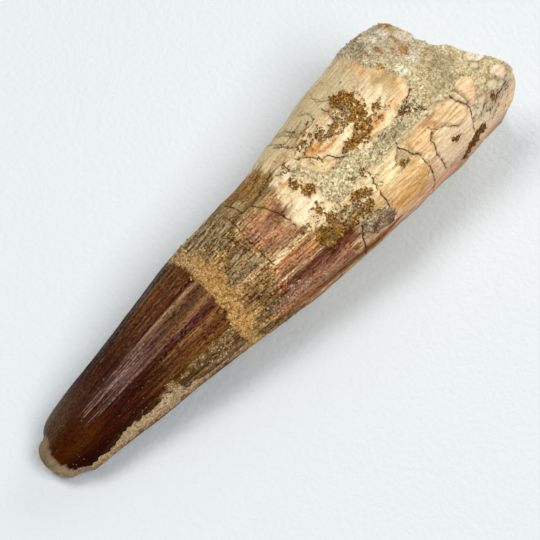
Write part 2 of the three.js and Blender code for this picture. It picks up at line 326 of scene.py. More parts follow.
# larger ones as outlines of (along, turn) points, each after its own thickness
crustOutlines = [
    (0.8, [(71.1, 56), (72.3, 62), (73.7, 71), (73.2, 76), (71.7, 78), (70.0, 75), (69.3, 68)]),
    (1.0, [(72.8, 80), (73.1, 85), (71.9, 92), (70.7, 96), (68.7, 100), (67.1, 99), (64.9, 95),
        (66.5, 90), (67.9, 92), (69.3, 88), (69.8, 82), (70.8, 82)]),
    (0.6, [(68.9, 70), (71.4, 78), (72.4, 82), (69.3, 87), (67.9, 86), (66.5, 85), (65.7, 84),
        (64.2, 77), (65.7, 76), (67.5, 74)]),
    (0.95, [(55.4, 83), (56.2, 81), (56.9, 85), (56.6, 90), (55.4, 89)]),
    (1.15, [(55.8, 92), (57.3, 91.5), (57.6, 96), (56.3, 98.6), (55.6, 96)]),
    (1.15, [(55.1, 105.5), (56.7, 107.6), (56.7, 114), (55.0, 113)]),
    (0.85, [(61.0, 118), (62.8, 120), (64.4, 126), (64.1, 130), (62.8, 128), (60.5, 125),
        (60.5, 122)]),
    (1.0, [(63.2, 130), (63.3, 135), (62.5, 138), (61.2, 135), (59.7, 136), (59.5, 140),
        (57.7, 141), (56.3, 140), (54.0, 140), (52.8, 135), (52.6, 126), (53.4, 119), (55.0, 122),
        (57.4, 129), (59.2, 131), (59.9, 131)]),
    (0.72, [(61.0, 127), (63.5, 132), (62.7, 140), (60.1, 142), (57.9, 142), (57.0, 135),
        (58.6, 131)]),
    (1.0, [(56.2, 115), (57.4, 118), (57.2, 124), (55.3, 128), (55.4, 121)]),
    (0.95, [(70.4, 128), (71.3, 129), (71.9, 133), (70.9, 134), (70.1, 130)]),
    (1.1, [(65.1, 107.6), (65.4, 111), (64.7, 115), (64.3, 113)]),
    (0.66, [(79.2, 98), (77.9, 101.5), (77.3, 104), (76.3, 106), (75.4, 106), (75.6, 103),
        (76.7, 101)]),
]
darkOutlines = [
    (1.0, [(80.9, 178), (81.6, 168.5), (82.5, 162), (84.2, 158), (86.0, 157), (86.8, 160),
        (86.4, 166), (84.8, 167.5), (83.6, 173), (82.2, 179)]),
    (0.9, [(90.3, 142), (90.4, 147), (89.6, 150), (89.3, 143)]),
    (0.9, [(79.6, 144), (80.4, 146), (81.7, 148.5), (81.0, 150.5), (80.2, 149), (79.8, 147)]),
]
# where loose specks of crust lie, as spots
crustSpecks = [
    (64.0, 74, 3.4, 8), (67.6, 78, 4.4, 8), (72.6, 76, 2.4, 10), (61.4, 66, 2.0, 6),
    (57.4, 118, 3.0, 9), (52.2, 116, 2.0, 7), (54.4, 112, 2.0, 9), (61.0, 127, 4.0, 6),
    (77.2, 105, 2.0, 6), (62.8, 112, 1.6, 4), (57.0, 72, 1.6, 6), (72.6, 96, 1.6, 3),
    (66.0, 82, 1.8, 5), (61.2, 86, 1.4, 5), (61.6, 74, 1.8, 5), (75.2, 92, 1.6, 5),
    (64, 228, 5, 10), (58, 330, 3, 10), (73, 300, 3, 8),
]

# where the sandstone at the broken end starts: (turn, along), then its patches further down
sandEdge = [(0, 86), (15, 80.5), (30, 78.5), (60, 78.4), (72, 78.6), (80, 79.6), (90, 80.2),
    (98, 79.8), (106, 79.4), (113, 79.5), (115.5, 81), (118.5, 83.2), (120.5, 86), (122, 88),
    (130, 88.4), (132.5, 90.6), (140, 94.8), (150, 96.5), (170, 99), (205, 99), (240, 96),
    (290, 90), (330, 88)]

sandPatches = [
    (72.0, 109.5, 8.0, 6.6), (78.6, 108, 2.6, 9), (67.4, 108, 2.0, 5), (57.8, 84, 0.9, 6),
    (57.2, 122, 1.4, 5), (60.4, 128, 1.4, 3), (86.3, 136, 0.5, 8), (93.6, 140, 1.0, 3),
    (79.0, 236, 5.0, 14), (64, 290, 5, 12), (52, 300, 4, 9),
]
sandOutlines = [
    [(59.4, 74), (58.9, 80), (58.3, 85), (58.2, 92), (58.4, 102), (57.7, 109), (58.9, 116),
        (61.5, 117), (63.6, 114.5), (65.5, 114), (68.0, 116), (70.4, 115), (69.4, 108), (67.8, 103),
        (65.5, 98), (63.4, 97), (60.4, 96), (59.8, 84)],
    [(88.3, 126), (90.4, 129), (89.9, 136), (88.8, 135.6), (87.4, 134)],
    [(60.0, 145.5), (61.8, 143.5), (64.1, 147), (65.6, 153), (66.2, 160), (64.3, 167), (61.6, 162),
        (60.2, 155)],
]

# where brown dirt lies thick, as spots
dirtSpots = [(67, 80, 9, 26), (58, 122, 7, 18), (70, 138, 5, 16), (57, 70, 3, 9), (80, 128, 6, 12),
    (50, 120, 4, 14), (88, 140, 4, 14), (76, 50, 5, 14)]

# blocks of bone in the sandstone, then blocks and stains within the bone
boneIslands = [
    ("#f0cda4", [(85.6, 115), (87.6, 114), (88.2, 118), (88.2, 126), (87.4, 132), (86.0, 137),
        (85.5, 132), (85.5, 126), (84.9, 118)]),
    ("#e8d8b0", [(84.7, 118), (85.2, 126), (85.3, 133), (84.7, 130), (83.9, 120)]),
    ("#f6d8bc", [(93.2, 125.5), (94.3, 131), (94.1, 138), (92.8, 140), (92.0, 133), (91.5, 127)]),
    ("#ead8b0", [(90.1, 131), (91.6, 133.6), (92.0, 140), (90.6, 142), (89.6, 136)]),
    ("#ecdcbe", [(90.2, 105), (91.4, 106.5), (92.6, 113), (93.1, 118), (91.3, 116), (90.1, 109)]),
    ("#e2d2ac", [(89.8, 111), (91.0, 116.6), (90.5, 119.5), (89.6, 116)]),
    ("#ecd0a0", [(60.1, 73), (61.4, 84), (62.2, 91), (63.9, 97), (62.4, 97.5), (60.9, 96),
        (59.6, 91), (59.1, 83)]),
    ("#f0dcb2", [(69.6, 102), (71.2, 102.5), (71.0, 106), (69.7, 105)]),
]
# colour, how much, how dark its rim, outline
boneBlocks = [
    ("#f6d4a6", 0.85, 0.5, [(81.5, 116), (83.0, 119), (84.7, 130), (85.0, 136), (84.2, 140),
        (82.0, 142), (79.1, 127), (78.8, 122), (79.9, 119)]),
    ("#fad09c", 0.85, 0.5, [(78.6, 123), (78.7, 129), (77.7, 130), (76.7, 135), (76.6, 142),
        (73.6, 134), (73.3, 125), (73.4, 119), (76.9, 122)]),
    ("#f2dcbc", 0.85, 0.6, [(87.3, 136), (88.5, 136), (89.2, 139), (88.0, 146), (86.9, 150),
        (85.3, 150), (86.1, 140)]),
    ("#c9b490", 0.7, 0.3, [(87.7, 143), (90.2, 141), (91.6, 148), (90.4, 154), (88.0, 152)]),
    ("#c0a684", 0.8, 0.4, [(71.7, 119), (72.9, 131), (70.3, 127), (71.0, 123)]),
    ("#a87a58", 0.5, 0.2, [(46.4, 74), (48.8, 78), (51.8, 106), (50.9, 111), (45.1, 107)]),
    ("#644828", 0.7, 0.3, [(38.8, 117), (40.6, 116), (40.8, 131), (38.4, 132)]),
    ("#5c4022", 0.7, 0.3, [(39.6, 131), (43.1, 139), (42.3, 154), (39.8, 151)]),
    ("#5e4220", 0.7, 0.3, [(36.8, 164), (39.4, 168), (43.7, 182), (41.6, 188), (38.2, 180)]),
]

# each crack: its strength, then (along, turn) points
cracks = [
    (1.0, [(59.8, 71), (60.8, 78), (62.0, 88), (63.0, 89), (63.6, 94), (64.4, 97)]),
    (0.8, [(56.2, 69), (57.0, 73), (57.8, 77)]),
    (0.8, [(59.6, 44), (60.4, 54), (61.0, 62)]),
    (0.6, [(62.0, 30), (62.4, 44), (62.6, 55)]),
    (0.6, [(63.2, 38), (63.4, 55), (64.5, 59), (65.6, 60)]),
    (0.7, [(68.8, 61), (68.7, 66), (68.3, 71)]),
    (0.6, [(66.4, 40), (67.2, 50), (66.6, 58)]),
    (0.5, [(70.4, 34), (69.6, 46), (70.4, 56)]),
    (0.5, [(65.2, 47), (63.5, 47), (61.4, 51)]), (0.5, [(65.5, 57), (63.6, 58), (61.9, 59)]),
    (0.5, [(63.3, 34), (62.6, 26), (61.7, 17)]), (0.6, [(60.4, 17), (60.2, 40), (61.2, 63)]),
    (0.6, [(51.8, 54), (53.9, 50), (56.0, 45)]), (0.5, [(57.5, 57), (57.8, 70), (57.6, 78)]),
    (0.9, [(43.2, 73), (43.5, 86), (43.9, 95)]),
    (1.0, [(49.5, 68), (50.6, 85), (51.5, 96), (51.6, 104)]),
    (0.7, [(45.6, 57), (45.5, 68), (45.4, 75), (45.2, 85), (45.0, 91), (44.8, 103), (44.9, 115)]),
    (0.8, [(55.0, 62), (51.9, 66), (50.4, 67), (49.4, 67), (47.8, 67), (46.4, 65), (45.7, 60)]),
    (0.9, [(47.9, 66), (47.8, 55), (47.5, 44)]),
    (0.6, [(46.7, 68), (43.6, 68), (41.1, 70), (38.6, 70)]),
    (1.0, [(60.1, 145), (59.1, 156), (58.6, 170), (58.7, 176)]),
    (0.6, [(60.1, 145), (61.8, 143.5), (64.1, 147)]),
    (0.7, [(64.3, 167), (61.6, 162), (60.2, 155)]),
    (1.0, [(65.7, 117.5), (65.6, 124), (65.2, 134), (65.3, 148)]),
    (0.7, [(65.3, 126), (66.0, 129)]), (0.6, [(65.7, 118), (66.4, 122)]),
    (0.9, [(72.2, 117.5), (72.5, 124), (73.2, 133), (73.9, 134), (74.1, 144), (74.4, 150),
        (74.4, 162), (74.6, 170)]),
    (0.5, [(72.2, 117.5), (71.0, 123), (70.1, 127)]),
    (0.5, [(77.9, 126), (78.7, 131), (79.6, 133), (81.8, 141)]),
    (0.9, [(77.7, 130), (76.8, 134), (77.0, 139), (76.4, 146), (77.1, 166)]),
    (0.9, [(83.7, 118), (84.0, 125), (85.2, 134)]),
    (0.8, [(85.2, 134), (85.3, 139), (84.9, 145), (84.3, 154)]),
    (0.4, [(84.9, 145), (86.8, 150), (88.6, 156)]),
    (0.8, [(93.6, 145), (92.3, 147), (91.2, 149)]),
    (0.7, [(91.1, 147), (90.1, 154), (89.1, 155), (87.8, 152)]),
    (0.8, [(88.3, 146), (87.1, 148), (86.7, 150)]), (0.4, [(93.0, 150), (90.6, 158), (88.4, 164)]),
    (0.9, [(76.0, 102), (77.6, 101), (79.2, 98)]), (0.9, [(75.2, 104), (77.0, 106)]),
    (1.0, [(77.4, 105), (78.0, 109), (78.9, 113)]), (0.9, [(78.7, 103), (78.9, 112)]),
    (0.5, [(71.0, 105), (72.0, 104)]),
    (0.6, [(94.0, 147), (92.0, 149), (90.5, 153), (88.6, 158)]),
    (0.5, [(92.8, 152), (91.0, 158), (89.0, 165)]),
    (0.5, [(93.6, 151), (93.0, 160), (91.6, 168)]),
    (0.8, [(74.6, 170), (73.6, 200), (75.0, 235)]),
    (0.8, [(68.5, 250), (70.0, 280), (67.5, 318), (69.5, 355)]),
    (0.7, [(47.0, 205), (48.6, 240), (46.8, 290), (48.0, 335)]),
    (0.6, [(80.0, 210), (81.5, 250), (79.6, 300), (81.0, 330)]),
    (0.6, [(55.0, 200), (62.0, 206), (70.0, 203)]),
    (0.6, [(52.0, 345), (60.0, 350), (66.0, 346)]),
]

# soft noises over the skin: size in mm, octaves and seed; the last two are drawn out along it
skinNoise = {
    "lump": (2.4, 3, 1),
    "fine": (0.9, 3, 2),
    "crumb": (0.45, 2, 3),
    "breakGrit": (1.1, 4, 7),
    "streak": (1.0, 3, 4),
    "fineStreak": (0.35, 2, 5),
}
noiseGaps = (17.3, 5.1, 9.7)     # how far apart in space two seeds lie
noiseGain = 1.4                  # brings the noises to about -1 to 1
fibreSlowness = 0.05             # the drawn-out ones change this much more slowly along the crown
fibreRadius = 9
spotReach = 2.2                  # half widths beyond which a spot has no effect
farAway = 9.0                    # mm; stands for nowhere near

# how ragged the edges of each kind of mark are, as sums of those noises
ragged = {
    "sand": {"fine": 1.0, "lump": 0.8},
    "crust": {"fine": 0.8, "crumb": 0.9, "lump": 0.4},
    "crustGaps": {"crumb": 1.0, "fineStreak": 0.8},
    "specks": {"base": 0.3, "crumb": 0.5, "fine": 0.3},
    "crackAlong": {"fine": 0.16, "crumb": 0.1},
    "crackRound": {"crumb": 0.16, "lump": 0.12},
}

# what stands out of the smooth form, in mm: its own height, then how much of each noise
relief = {
    "flutes": {"base": -0.1, "streak": 0.05, "fineStreak": 0.04},
    "band": {"base": 0.14, "fine": 0.14, "crumb": 0.12},
    "ledge": {"fine": 0.12, "crumb": 0.12},
    "root": {"streak": 0.05, "fineStreak": 0.025, "crumb": 0.02},
    "neck": {"streak": 0.08, "fine": 0.1, "crumb": 0.07},
    "sandstone": {"base": 0.38, "lump": 0.14, "fine": 0.12, "crumb": 0.1},
    "crust": {"base": 0.32, "fine": 0.24, "crumb": 0.26, "lump": 0.12},
    "darkCrustLower": 0.4,
    "island": 0.3,
    "block": 0.12,
    "crack": 0.22,
    # it is full from the second turn to the third and lower outside the first and fourth
    "bandTurns": (25, 50, 150, 172),
    "bandElsewhere": 0.25,
    "sandstoneTurns": (18, 46, 160, 178),
    "sandstoneElsewhere": 0.1,
    # the root's near edge is straight just above the neck
    "straightTurns": (158, 170, 192, 205),
    "straightAlong": (66, 60),
    "straightness": 0.8,
}


def readSphere(sphere, columns, rings):
    # which ring and which turn each vertex of the unit sphere belongs to
    places = readVertices(sphere.data, "co")
    fromPole = np.arccos(np.clip(-places[:, 2], -1, 1)) / math.pi * rings
    column = np.rint(np.degrees(np.arctan2(places[:, 1], places[:, 0])) / 360 * columns)
    return np.rint(fromPole).astype(int), (column * 360 / columns) % 360


def sectionAt(along):
    sides = ("far", "near", "top", "under")
    return [curveThrough(toothShape["along"], toothShape[side], along) for side in sides]


def formPoints(along, turn, grow):
    far, near, top, under = sectionAt(along)
    cosine, sine = np.cos(np.radians(turn)), np.sin(np.radians(turn))
    power = 2 / np.where(sine > 0, toothShape["squareTop"], toothShape["squareUnder"])
    middle = top * toothShape["belt"]
    width = np.where(cosine > 0, far, near) + grow
    height = np.where(sine > 0, top - middle, middle - under) + grow
    y = width * np.sign(cosine) * np.abs(cosine) ** power
    z = middle + height * np.sign(sine) * np.abs(sine) ** power
    return np.column_stack([along, y, z])


def lumpy(points, size, octaves, seed):
    # soft noise from about -1 to 1, with lumps of that size in mm
    shift = Vector([seed * gap for gap in noiseGaps])
    values = [noise.fractal(Vector(point) + shift, 1.0, 2.0, octaves) for point in points / size]
    return np.array(values) * noiseGain


class ToothSkin:
    # every vertex's place on the tooth, and the noises that relief and paint share

    def __init__(self, along, turn, share):
        self.along = along
        self.turn = turn
        self.share = share          # 1 on the sides, and down to 0 in the middle of the break
        far, near, top, _ = sectionAt(along)
        self.perDegree = np.radians((far + near + top) / 4)      # mm in one degree of turn
        smooth = formPoints(along, turn, 0)
        radians = np.radians(turn)
        onward = fibreSlowness * (along + np.maximum(along - crown["length"], 0))
        around = fibreRadius * np.cos(radians), fibreRadius * np.sin(radians)
        self.fibre = np.column_stack([onward, *around])
        for name in ("lump", "fine", "crumb"):
            setattr(self, name, lumpy(smooth, *skinNoise[name]))
        for name in ("streak", "fineStreak"):
            setattr(self, name, lumpy(self.fibre, *skinNoise[name]))


def mixed(skin, base=0.0, **shares):
    # a sum of the skin's noises
    return base + sum(share * getattr(skin, name) for name, share in shares.items())


def spotCover(spots, skin, raggedness, soft, rough):
    # 1 inside the spots, 0 outside, with a ragged edge
    cover = np.zeros(len(skin.along))
    for along, turn, long, wide in spots:
        reach = np.hypot((skin.along - along) / long, turnGap(turn, skin.turn) / wide)
        near = reach < spotReach
        amount = rise(1 + soft, 1 - soft, reach[near] + raggedness * rough[near])
        cover[near] = np.maximum(cover[near], amount)
    return cover


def besideLine(along, turn, perDegree, start, end):
    # mm from the line's start and across to its end, then the distance from the line
    x, y = along - start[0], turnGap(start[1], turn) * perDegree
    dx, dy = end[0] - start[0], (end[1] - start[1]) * perDegree
    t = np.clip((x * dx + y * dy) / np.maximum(dx * dx + dy * dy, 1e-9), 0, 1)
    return x, y, dx, dy, np.hypot(x - t * dx, y - t * dy)


def outlineDepth(outline, skin):
    # mm inside a closed outline of (along, turn) points; outside it is below 0
    depth = np.full(len(skin.along), -farAway)
    alongs, turns = zip(*outline)
    margin, turnMargin = 1.5, 8
    middle, reach = (min(turns) + max(turns)) / 2, (max(turns) - min(turns)) / 2 + turnMargin
    near = (skin.along > min(alongs) - margin) & (skin.along < max(alongs) + margin)
    near &= np.abs(turnGap(middle, skin.turn)) < reach
    along, turn, perDegree = skin.along[near], skin.turn[near], skin.perDegree[near]
    closest = np.full(len(along), farAway)
    inside = np.zeros(len(along), bool)
    for start, end in zip(outline, outline[1:] + outline[:1]):
        x, y, dx, dy, distance = besideLine(along, turn, perDegree, start, end)
        closest = np.minimum(closest, distance)
        crosses = (y < 0) != (y < dy)
        inside ^= crosses & (x < dx * y / np.where(np.abs(dy) < 1e-9, 1e-9, dy))
    depth[near] = np.where(inside, closest, -closest)
    return depth


def outlineCover(outline, skin, rough, soft):
    return rise(-soft, soft, outlineDepth(outline, skin) + rough)


def bareParts(skin, further=0):
    # where the enamel is gone: at the tip and along the ledge, which may run further round
    start = curveRound(crown["enamelStart"], skin.turn) - crown["tipJag"] * skin.fine
    tip = rise(crown["tipEdge"], -crown["tipEdge"], skin.along - start)
    upper = curveThrough(crown["ledgeAlong"], crown["ledgeUpper"], skin.along)
    lower = curveThrough(crown["ledgeAlong"], crown["ledgeLower"], skin.along)
    jag, edge = mixed(skin, **crown["ledgeJag"]), crown["ledgeEdge"]
    ledge = rise(-edge, edge, skin.turn - upper - jag)
    ledge *= rise(-edge, edge, lower + further + jag * 0.5 - skin.turn)
    return tip, ledge * rise(-0.1, 0.2, crown["length"] - skin.along)


def bandCover(skin):
    start = curveRound(band["start"], skin.turn) + mixed(skin, **band["startJag"])
    end = curveRound(band["end"], skin.turn) + mixed(skin, **band["endJag"])
    cover = rise(-band["startEdge"], band["startEdge"], skin.along - start)
    return cover * rise(-band["endEdge"], band["endEdge"], end - skin.along)


def followCracks(skin):
    # for each vertex: the distance from the nearest crack, the same with a sign that tells its
    # sides apart, and how strong that crack is
    nearest = np.full(len(skin.along), farAway)
    across = np.full(len(skin.along), farAway)
    strength = np.zeros(len(skin.along))
    along = skin.along + mixed(skin, **ragged["crackAlong"])
    turn = skin.turn + mixed(skin, **ragged["crackRound"]) / skin.perDegree
    for power, points in cracks:
        for start, end in zip(points, points[1:]):
            x, y, dx, dy, distance = besideLine(along, turn, skin.perDegree, start, end)
            closer = distance < nearest
            nearest[closer] = distance[closer]
            across[closer] = ((x * dy - y * dx) / np.hypot(dx, dy))[closer]
            strength[closer] = power
    return nearest, across, strength


def fluteRidges(skin):
    height = np.zeros(len(skin.along))
    ridges = list(crown["ridges"])
    for number in range(crown["hiddenRidges"]):
        turn = crown["hiddenFrom"] + number * crown["hiddenSpan"] / crown["hiddenRidges"]
        tall = crown["hiddenHeight"] * (1 + 0.4 * math.sin(3.1 * number + 1))
        ridges.append((turn + 2.2 * math.sin(5.3 * number), tall))
    for number, (turn, tall) in enumerate(ridges):
        wander = 0.7 * np.sin(0.21 * skin.along + 2.4 * number) + 0.35 * skin.streak
        fade = 0.7 + 0.3 * np.sin(0.16 * skin.along + 1.9 * number)
        line = lineAt(turnGap(turn + wander, skin.turn), crown["ridgeWidth"])
        height = np.maximum(height, tall * fade * line)
    return height


def partRelief(skin, cover, part):
    return cover[part] * mixed(skin, **relief[part])


def shapeRelief(skin, cover):
    # mm outwards, on the crown
    flutes = within(skin.along, *crown["flutesAlong"])
    flutes *= skin.ridge + mixed(skin, **relief["flutes"])
    height = flutes * (1 - np.maximum(cover["tip"], cover["ledge"]))
    height -= crown["tipStep"] * cover["tip"] + crown["enamelThickness"] * cover["ledge"]
    height += partRelief(skin, cover, "ledge")
    # at the mended neck
    least = relief["bandElsewhere"]
    proud = least + (1 - least) * within(skin.turn, *relief["bandTurns"])
    height += proud * partRelief(skin, cover, "band")
    # on the root, which swells unevenly
    radians, along = np.radians(skin.turn), skin.along
    straight = within(skin.turn, *relief["straightTurns"]) * rise(*relief["straightAlong"], along)
    uneven = 1 - relief["straightness"] * straight
    swell = 0.16 * np.sin(5 * radians + 0.09 * along) + 0.12 * np.sin(9 * radians - 0.21 * along)
    swell += uneven * (0.1 * np.sin(0.55 * along + 2 * radians) + 0.08 * skin.lump)
    height += rise(crown["length"], 50, along) * swell
    height += rise(37, 39, along) * mixed(skin, **relief["root"])
    height += uneven * partRelief(skin, cover, "neck")
    # and what is stuck to it
    least = relief["sandstoneElsewhere"]
    facing = least + (1 - least) * within(skin.turn, *relief["sandstoneTurns"])
    rust = partRelief(skin, cover, "crust") * (1 - relief["darkCrustLower"] * cover["crustDark"])
    height += np.maximum(facing * partRelief(skin, cover, "sandstone"), rust)
    height += relief["island"] * cover["island"]
    height += relief["block"] * rise(-0.1, 0.2, np.maximum.reduce(cover["blockDepths"]))
    return height - relief["crack"] * cover["crack"]


def rowPlaces(ring, turn):
    # for each vertex: along, the angle of the rounded tip, and the share of the way out from
    # the middle of the broken face
    shape = toothShape
    sideRings = shape["rings"] - shape["tipRings"] - shape["endRings"] - shape["faceRings"]
    endStart = shape["tipRings"] + sideRings
    faceStart = endStart + shape["endRings"]
    sideShare = np.clip((ring - shape["tipRings"]) / sideRings, 0, 1)
    endShare = np.clip((ring - endStart) / shape["endRings"], 0, 1)
    along = shape["tipRounding"] + sideShare * (shape["endZone"] - shape["tipRounding"])
    along += endShare * (curveRound(shape["brokenRim"], turn) - shape["endZone"])
    tipAngle = np.clip(ring / shape["tipRings"], 0, 1) * math.pi / 2
    return along, tipAngle, 1 - np.clip((ring - faceStart) / shape["faceRings"], 0, 1)


def coverPlaces(skin):
    # how much of each kind of surface every vertex has, from 0 to 1
    cover = {"band": bandCover(skin)}
    cover["tip"], cover["ledge"] = bareParts(skin)
    cover["bareLedge"] = bareParts(skin, 3.5)[1]
    cover["neck"] = rise(37.4, 38.4, skin.along) * rise(47.5, 43.5, skin.along + 1.5 * skin.lump)

    cover["islandDepths"] = [outlineDepth(outline, skin) + 0.1 * skin.fine
                             for _, outline in boneIslands]
    cover["island"] = rise(-0.1, 0.14, np.maximum.reduce(cover["islandDepths"]))
    cover["blockDepths"] = [outlineDepth(block[-1], skin) + 0.12 * skin.fine
                            for block in boneBlocks]
    rough = mixed(skin, **ragged["sand"])
    end = rise(-0.12, 0.12, skin.along - curveRound(sandEdge, skin.turn) + 0.35 * rough)
    sands = [outlineCover(outline, skin, 0.25 * rough, 0.12) for outline in sandOutlines]
    patches = spotCover(sandPatches, skin, 0.26, 0.06, rough)
    cover["sandstone"] = np.maximum.reduce([end, patches] + sands) * (1 - cover["island"])

    rough = mixed(skin, **ragged["crust"])
    specks = spotCover(crustSpecks, skin, 0.2, 0.6, rough)
    specks *= np.clip(mixed(skin, **ragged["specks"]), 0, 0.75)
    dark = [share * outlineCover(outline, skin, 0.15 * rough, 0.2)
            for share, outline in darkOutlines]
    cover["crustDark"] = np.maximum.reduce(dark)
    gaps = 0.25 + 0.75 * rise(-1.1, -0.35, mixed(skin, **ragged["crustGaps"]))
    plain = [share * gaps * outlineCover(outline, skin, 0.45 * rough, 0.3)
             for share, outline in crustOutlines]
    small = 0.8 * spotCover(crusts, skin, 0.5, 0.4, rough)
    cover["crustField"] = np.maximum.reduce([small, cover["crustDark"], specks] + plain)
    cover["crust"] = rise(0.42, 0.62, cover["crustField"] + 0.28 * skin.crumb)
    cover["dirt"] = np.maximum(0.3, spotCover(dirtSpots, skin, 0.3, 0.6, skin.lump))

    nearest, cover["crackAcross"], strength = followCracks(skin)
    cover["crackNear"] = strength * rise(0.9, 0.3, nearest)
    cover["crack"] = strength * rise(0.26, 0.04, nearest)
    return cover


def placeSkin(skin, cover, tipAngle):
    # the finished places in mm, and where the filling of the broken end is
    shape = toothShape
    places = formPoints(skin.along, skin.turn, shapeRelief(skin, cover))
    startHeight = curveThrough(shape["along"], shape["top"], shape["tipRounding"])
    nose = np.array([0, 0, startHeight * shape["noseHeight"]])
    places = nose + (places - nose) * np.sin(tipAngle)[:, None]
    places[:, 0] = skin.along

    share, onFace = skin.share, skin.share < 1
    centre = np.array(shape["breakCentre"])
    faced = centre + (places - centre) * share[:, None]
    faced[:, 0] = centre[0] + (places[:, 0] - centre[0]) * share ** shape["breakDishing"]
    wall = 1 - shape["dentineWall"]
    wavering = share + shape["wallWaver"] * np.sin(np.radians(5 * skin.turn))
    inside = rise(wall, wall - 0.05, wavering)
    y, z = faced[:, 1], faced[:, 2]
    rough = np.sin(1.1 * y + 0.4 * z) * np.sin(0.9 * z - 0.5 * y) * onFace
    faced[:, 0] += shape["breakRoughness"] * rough - shape["pulpRecess"] * inside
    onWall, onFilling = shape["breakGrit"]
    grit = (onWall + onFilling * inside[onFace]) * lumpy(faced[onFace], *skinNoise["breakGrit"])
    faced[onFace, 0] += grit * rise(1, 0.94, share[onFace])
    faced[:, 2] = np.maximum(faced[:, 2], 0)
    return faced, inside


